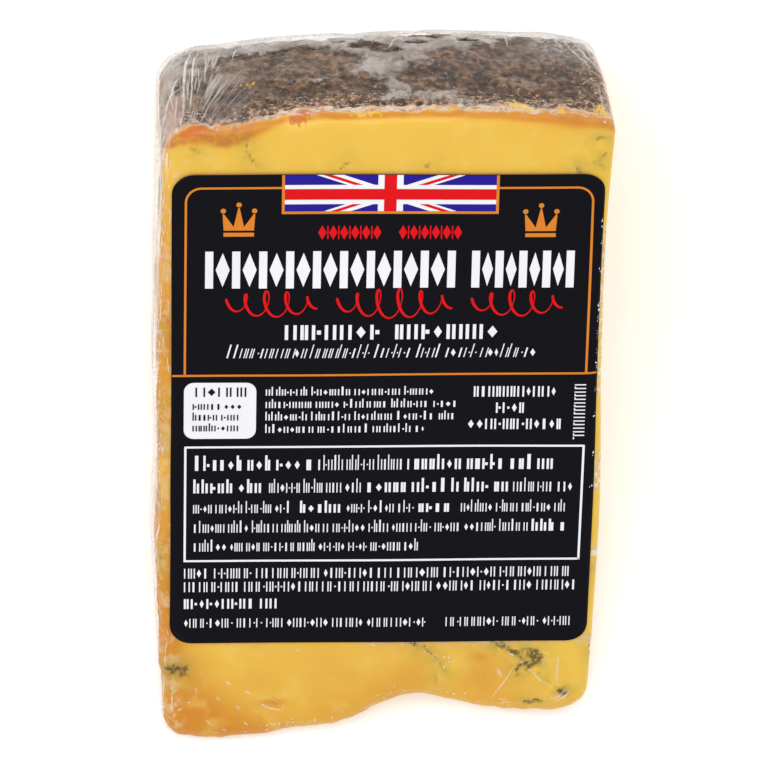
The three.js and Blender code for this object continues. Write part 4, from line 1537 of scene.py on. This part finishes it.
# %% The panel
PANEL = {"left": 1.9, "top": 34.9, "right": 12.7, "bottom": 44.5, "corner": 1.5}
outline = round_corner(PANEL, "left", "top", 180) + round_corner(PANEL, "right", "top", 270)
outline += round_corner(PANEL, "right", "bottom", 0) + round_corner(PANEL, "left", "bottom", 90)
middle = ((PANEL["left"] + PANEL["right"]) / 2, (PANEL["top"] + PANEL["bottom"]) / 2)
for a, b in zip(outline, outline[1:] + outline[:1]):
    halfway_a, halfway_b = tuple(np.add(a, middle) / 2), tuple(np.add(b, middle) / 2)
    white.polygon([a, b, halfway_b, halfway_a])
    white.polygon([halfway_a, halfway_b, middle])
set_line(black, 3.6, 11.2, 35.7, 37.3, 1.2, 0.26, **CAPITALS)
for row in range(3):
    top = 38.1 + 1.85 * row
    set_line(black, 3.2, 11.3 - 0.5 * row, top, top + 1.4, 0.62, 0.21, tall_share=0.2)

# %% The small rows beside the panel
for row, length in enumerate((25.6, 29.6, 28.4, 23.8)):
    top = 35.6 + 2.14 * row
    set_line(white, 14.1, 14.1 + length, top, top + 1.5, 0.72, 0.2, tall_share=0.3)
for top, u0, u1 in ((35.7, 45.2, 57.6), (38.5, 48.6, 53.5), (41.3, 44.4, 58.4)):
    set_line(white, u0, u1, top, top + 1.8, 0.9, 0.27, **CAPITALS)
v = 35.4
while v < 44.3:  # the row that stands on its end at the right
    white.block(60.3, v, 62.0, v + 0.2)
    if print_draws.random() < 0.6:
        white.block(60.3, v + 0.4, 60.5, v + 0.75)
    v += 0.62

# %% The box of rows
BOX = {"left": 2.0, "right": 62.1, "top": 45.8, "bottom": 65.6, "line": 0.34}
box_foot = BOX["bottom"] + BOX["line"]
white.block(BOX["left"], BOX["top"], BOX["right"], BOX["top"] + BOX["line"])
white.block(BOX["left"], BOX["bottom"], BOX["right"] - 0.1, box_foot)
white.block(BOX["left"], BOX["top"], BOX["left"] + BOX["line"], BOX["bottom"])
white.ribbon(straight((BOX["right"] - 0.1, BOX["top"]), (BOX["right"] - 0.2, box_foot)), BOX["line"])
BOLD, LIGHT = (0.9, 0.34), (0.62, 0.17)  # how wide a letter is and its stroke
# Each row: its top, its letters' height and its runs of letters, as starts, ends and weights.
BOX_ROWS = [
    (47.4, 2.6, [(3.4, 21.2, BOLD), (22.0, 35.8, LIGHT), (36.6, 57.6, BOLD)]),
    (51.5, 2.4, [(3.4, 13.8, BOLD), (14.8, 28.6, LIGHT), (29.4, 43.4, BOLD)]),
    (51.5, 2.4, [(44.2, 51.0, BOLD), (51.6, 60.8, LIGHT)]),
    (55.3, 2.1, [(3.4, 18.8, LIGHT), (19.5, 25.9, BOLD), (26.5, 36.8, LIGHT)]),
    (55.3, 2.1, [(37.4, 43.2, BOLD), (43.8, 59.8, LIGHT)]),
    (58.7, 2.1, [(3.4, 23.8, LIGHT), (24.5, 54.0, LIGHT), (54.6, 60.0, BOLD)]),
    (62.0, 2.1, [(3.4, 37.6, LIGHT)]),
]
for top, height, runs in BOX_ROWS:
    for u0, u1, weight in runs:
        set_line(white, u0, u1, top, top + height, *weight, words=(3, 7))
print("white shapes with the box:", len(white.faces))

# %% The rows under the box
UNDER_BOX = [(67.1, 58.4, 0.84, 0.19), (69.5, 60.4, 0.84, 0.19), (72.5, 14.6, 0.95, 0.3)]
for top, length, letter, stroke in UNDER_BOX:
    set_line(white, 2.1, 2.1 + length, top, top + 1.75, letter, stroke, words=(4, 12), tall_share=1)
for u0, u1 in ((2.1, 38.9), (42.0, 61.4)):
    set_line(white, u0, u1, 76.0, 77.6, 0.74, 0.17, tall_share=1)

# %% Nicks where the label's edge is worn
NICKED_EDGE = 63.5
# Middle of each worn place down the label and how far it reaches.
WORN_PLACES = [
    (8.1, 0.5), (9.0, 0.3), (11.5, 0.3), (16, 0.4), (21.9, 0.35), (23.0, 0.8), (24.2, 0.4), (27, 0.4),
    (30, 0.3), (32.2, 0.6), (33.4, 0.3), (36.5, 0.3), (41, 0.4), (47.0, 0.45), (53, 0.3),
]
for v, reach in WORN_PLACES:
    for _ in range(4):
        u = NICKED_EDGE - abs(print_draws.normal(0, 0.16))
        nick_v = v + print_draws.normal(0, reach)
        nick = reach * print_draws.uniform(0.15, 0.4)
        lozenge(white, u, nick_v, nick * 0.6, nick)
print("ink shapes:", {name: len(ink.faces) for name, ink in inks.items()})

# %% [markdown]
# ## Paper and ink
#
# The label is printed paper with a dull coat. Its face is near black. Its cut edge is painted brown, a
# painted shade for the thin dark line along the label's edges, and where the edge is worn, white paper
# shows. Each ink is the same dull finish in its own colour, with a faint cloudiness so that it doesn't
# look like a screen.


# %% Label finishes
def print_finish(name, colour, cloud=0.06):
    """A dull coated print, a little lighter and darker in clouds."""
    coat = Finish(name)
    darker, lighter = (tuple(part * (1 + way * cloud) for part in colour) for way in (-1, 1))
    clouds = coat.mix(coat.noise(9, 3), darker, lighter)
    shader = coat.add(
        "BsdfPrincipled",
        {
            "Base Color": clouds,
            "Roughness": 0.45,
            "Specular IOR Level": 0.04,
            "Normal": coat.bump(coat.noise(0.4, 2), 0.02, 0.3),
        },
    )
    return coat.finish(shader.outputs[0])


label.data.materials.append(print_finish("near-black print", (0.0052, 0.0052, 0.0078), 0.12))
# The cut edge's brown is painted shade, for the thin dark line along the label's edges.
label.data.materials.append(print_finish("paper edge", (0.36, 0.19, 0.09)))
is_edge = np.arange(len(label.data.polygons)) >= len(face_quads)
label.data.polygons.foreach_set("material_index", is_edge.astype(np.int32))

INK_COLOURS = {
    "blue": (0.021, 0.012, 0.27),
    "white": (0.80, 0.80, 0.83),
    "red": (0.68, 0.008, 0.010),
    "orange": (0.66, 0.21, 0.024),
    "black": (0.010, 0.010, 0.013),
}
for name, ink in inks.items():
    piece = ink.lay(print_finish(name + " ink", INK_COLOURS[name]))
    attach(piece, "root")
    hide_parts("label")

# %% [markdown]
# ## Floor, light and camera
#
# The pack lies on a white table under a soft white room light. A bright dome does most of it, a large
# lamp overhead makes the faint shadow, and a few small lamps give the film its sparkle. The camera is
# nearly straight above, a metre up, with a long lens, so the wedge shows almost without perspective.

# %% Floor
FLOOR_SIDE = 6.0  # metres
floor_mesh = bpy.data.meshes.new("floor")
edge = FLOOR_SIDE / 2
floor_corners = [(-edge, -edge, 0), (edge, -edge, 0), (edge, edge, 0), (-edge, edge, 0)]
floor_mesh.from_pydata(floor_corners, [], [(0, 1, 2, 3)])
floor = bpy.data.objects.new("floor", floor_mesh)
bpy.context.scene.collection.objects.link(floor)
table = Finish("white table")
table_colour = table.mix(table.noise(180, 2), (0.94, 0.94, 0.94), (0.96, 0.96, 0.96))
table_shader = table.add(
    "BsdfPrincipled",
    {
        "Base Color": table_colour,
        "Roughness": 0.8,
        "Specular IOR Level": 0.1,
        "Emission Color": (1.0, 1.0, 1.0),
        "Emission Strength": 0.14,  # a lit table top, so that it stays white close to the pack
    },
)
floor_mesh.materials.append(table.finish(table_shader.outputs[0]))

# %% Light
DOME = 0.86
world = bpy.data.worlds.new("white room")
world.use_nodes = True
background = world.node_tree.nodes["Background"]
background.inputs["Color"].default_value = (1, 1, 1, 1)
background.inputs["Strength"].default_value = DOME
bpy.context.scene.world = world


def lamp(name, place, size, power, aim=(0, 0, 0.03)):
    """A square soft lamp at a place in metres, turned to the pack."""
    light = bpy.data.lights.new(name, "AREA")
    light.shape = "SQUARE"
    light.size = size
    light.energy = power
    lamp_object = bpy.data.objects.new(name, light)
    bpy.context.scene.collection.objects.link(lamp_object)
    lamp_object.location = place
    towards = Vector(aim) - lamp_object.location
    lamp_object.rotation_euler = towards.to_track_quat("-Z", "Y").to_euler()


lamp("overhead_lamp", (-0.15, 0.3, 1.5), 0.8, 7.0)
lamp("window_lamp", (-0.9, 0.2, 0.9), 0.10, 1.6)
lamp("far_lamp", (0.6, 1.1, 0.7), 0.10, 0.8)
bpy.context.scene.view_settings.view_transform = "Standard"

# %% Camera
FRAME_PIXELS = 768
SENSOR_WIDTH = 36.0
FOCAL_PIXELS = 6475.9  # the lens's focal length in the picture's pixels
camera_data = bpy.data.cameras.new("camera")
camera_data.sensor_width = SENSOR_WIDTH
camera_data.lens = FOCAL_PIXELS * SENSOR_WIDTH / FRAME_PIXELS
camera_data.clip_start = 0.05
camera = bpy.data.objects.new("camera", camera_data)
CAMERA_PLACE = (-0.048966, -0.011452, 0.9997)
CAMERA_TURNS = [(-2.925, "Y"), (0.655, "X"), (-0.293, "Z")]  # degrees from looking straight down
pose = Matrix.Translation(CAMERA_PLACE)
for angle, axis in CAMERA_TURNS:
    pose = pose @ Matrix.Rotation(math.radians(angle), 4, axis)
camera.matrix_world = pose
bpy.context.scene.collection.objects.link(camera)
bpy.context.scene.camera = camera
print("lens:", round(camera_data.lens, 1), "mm")
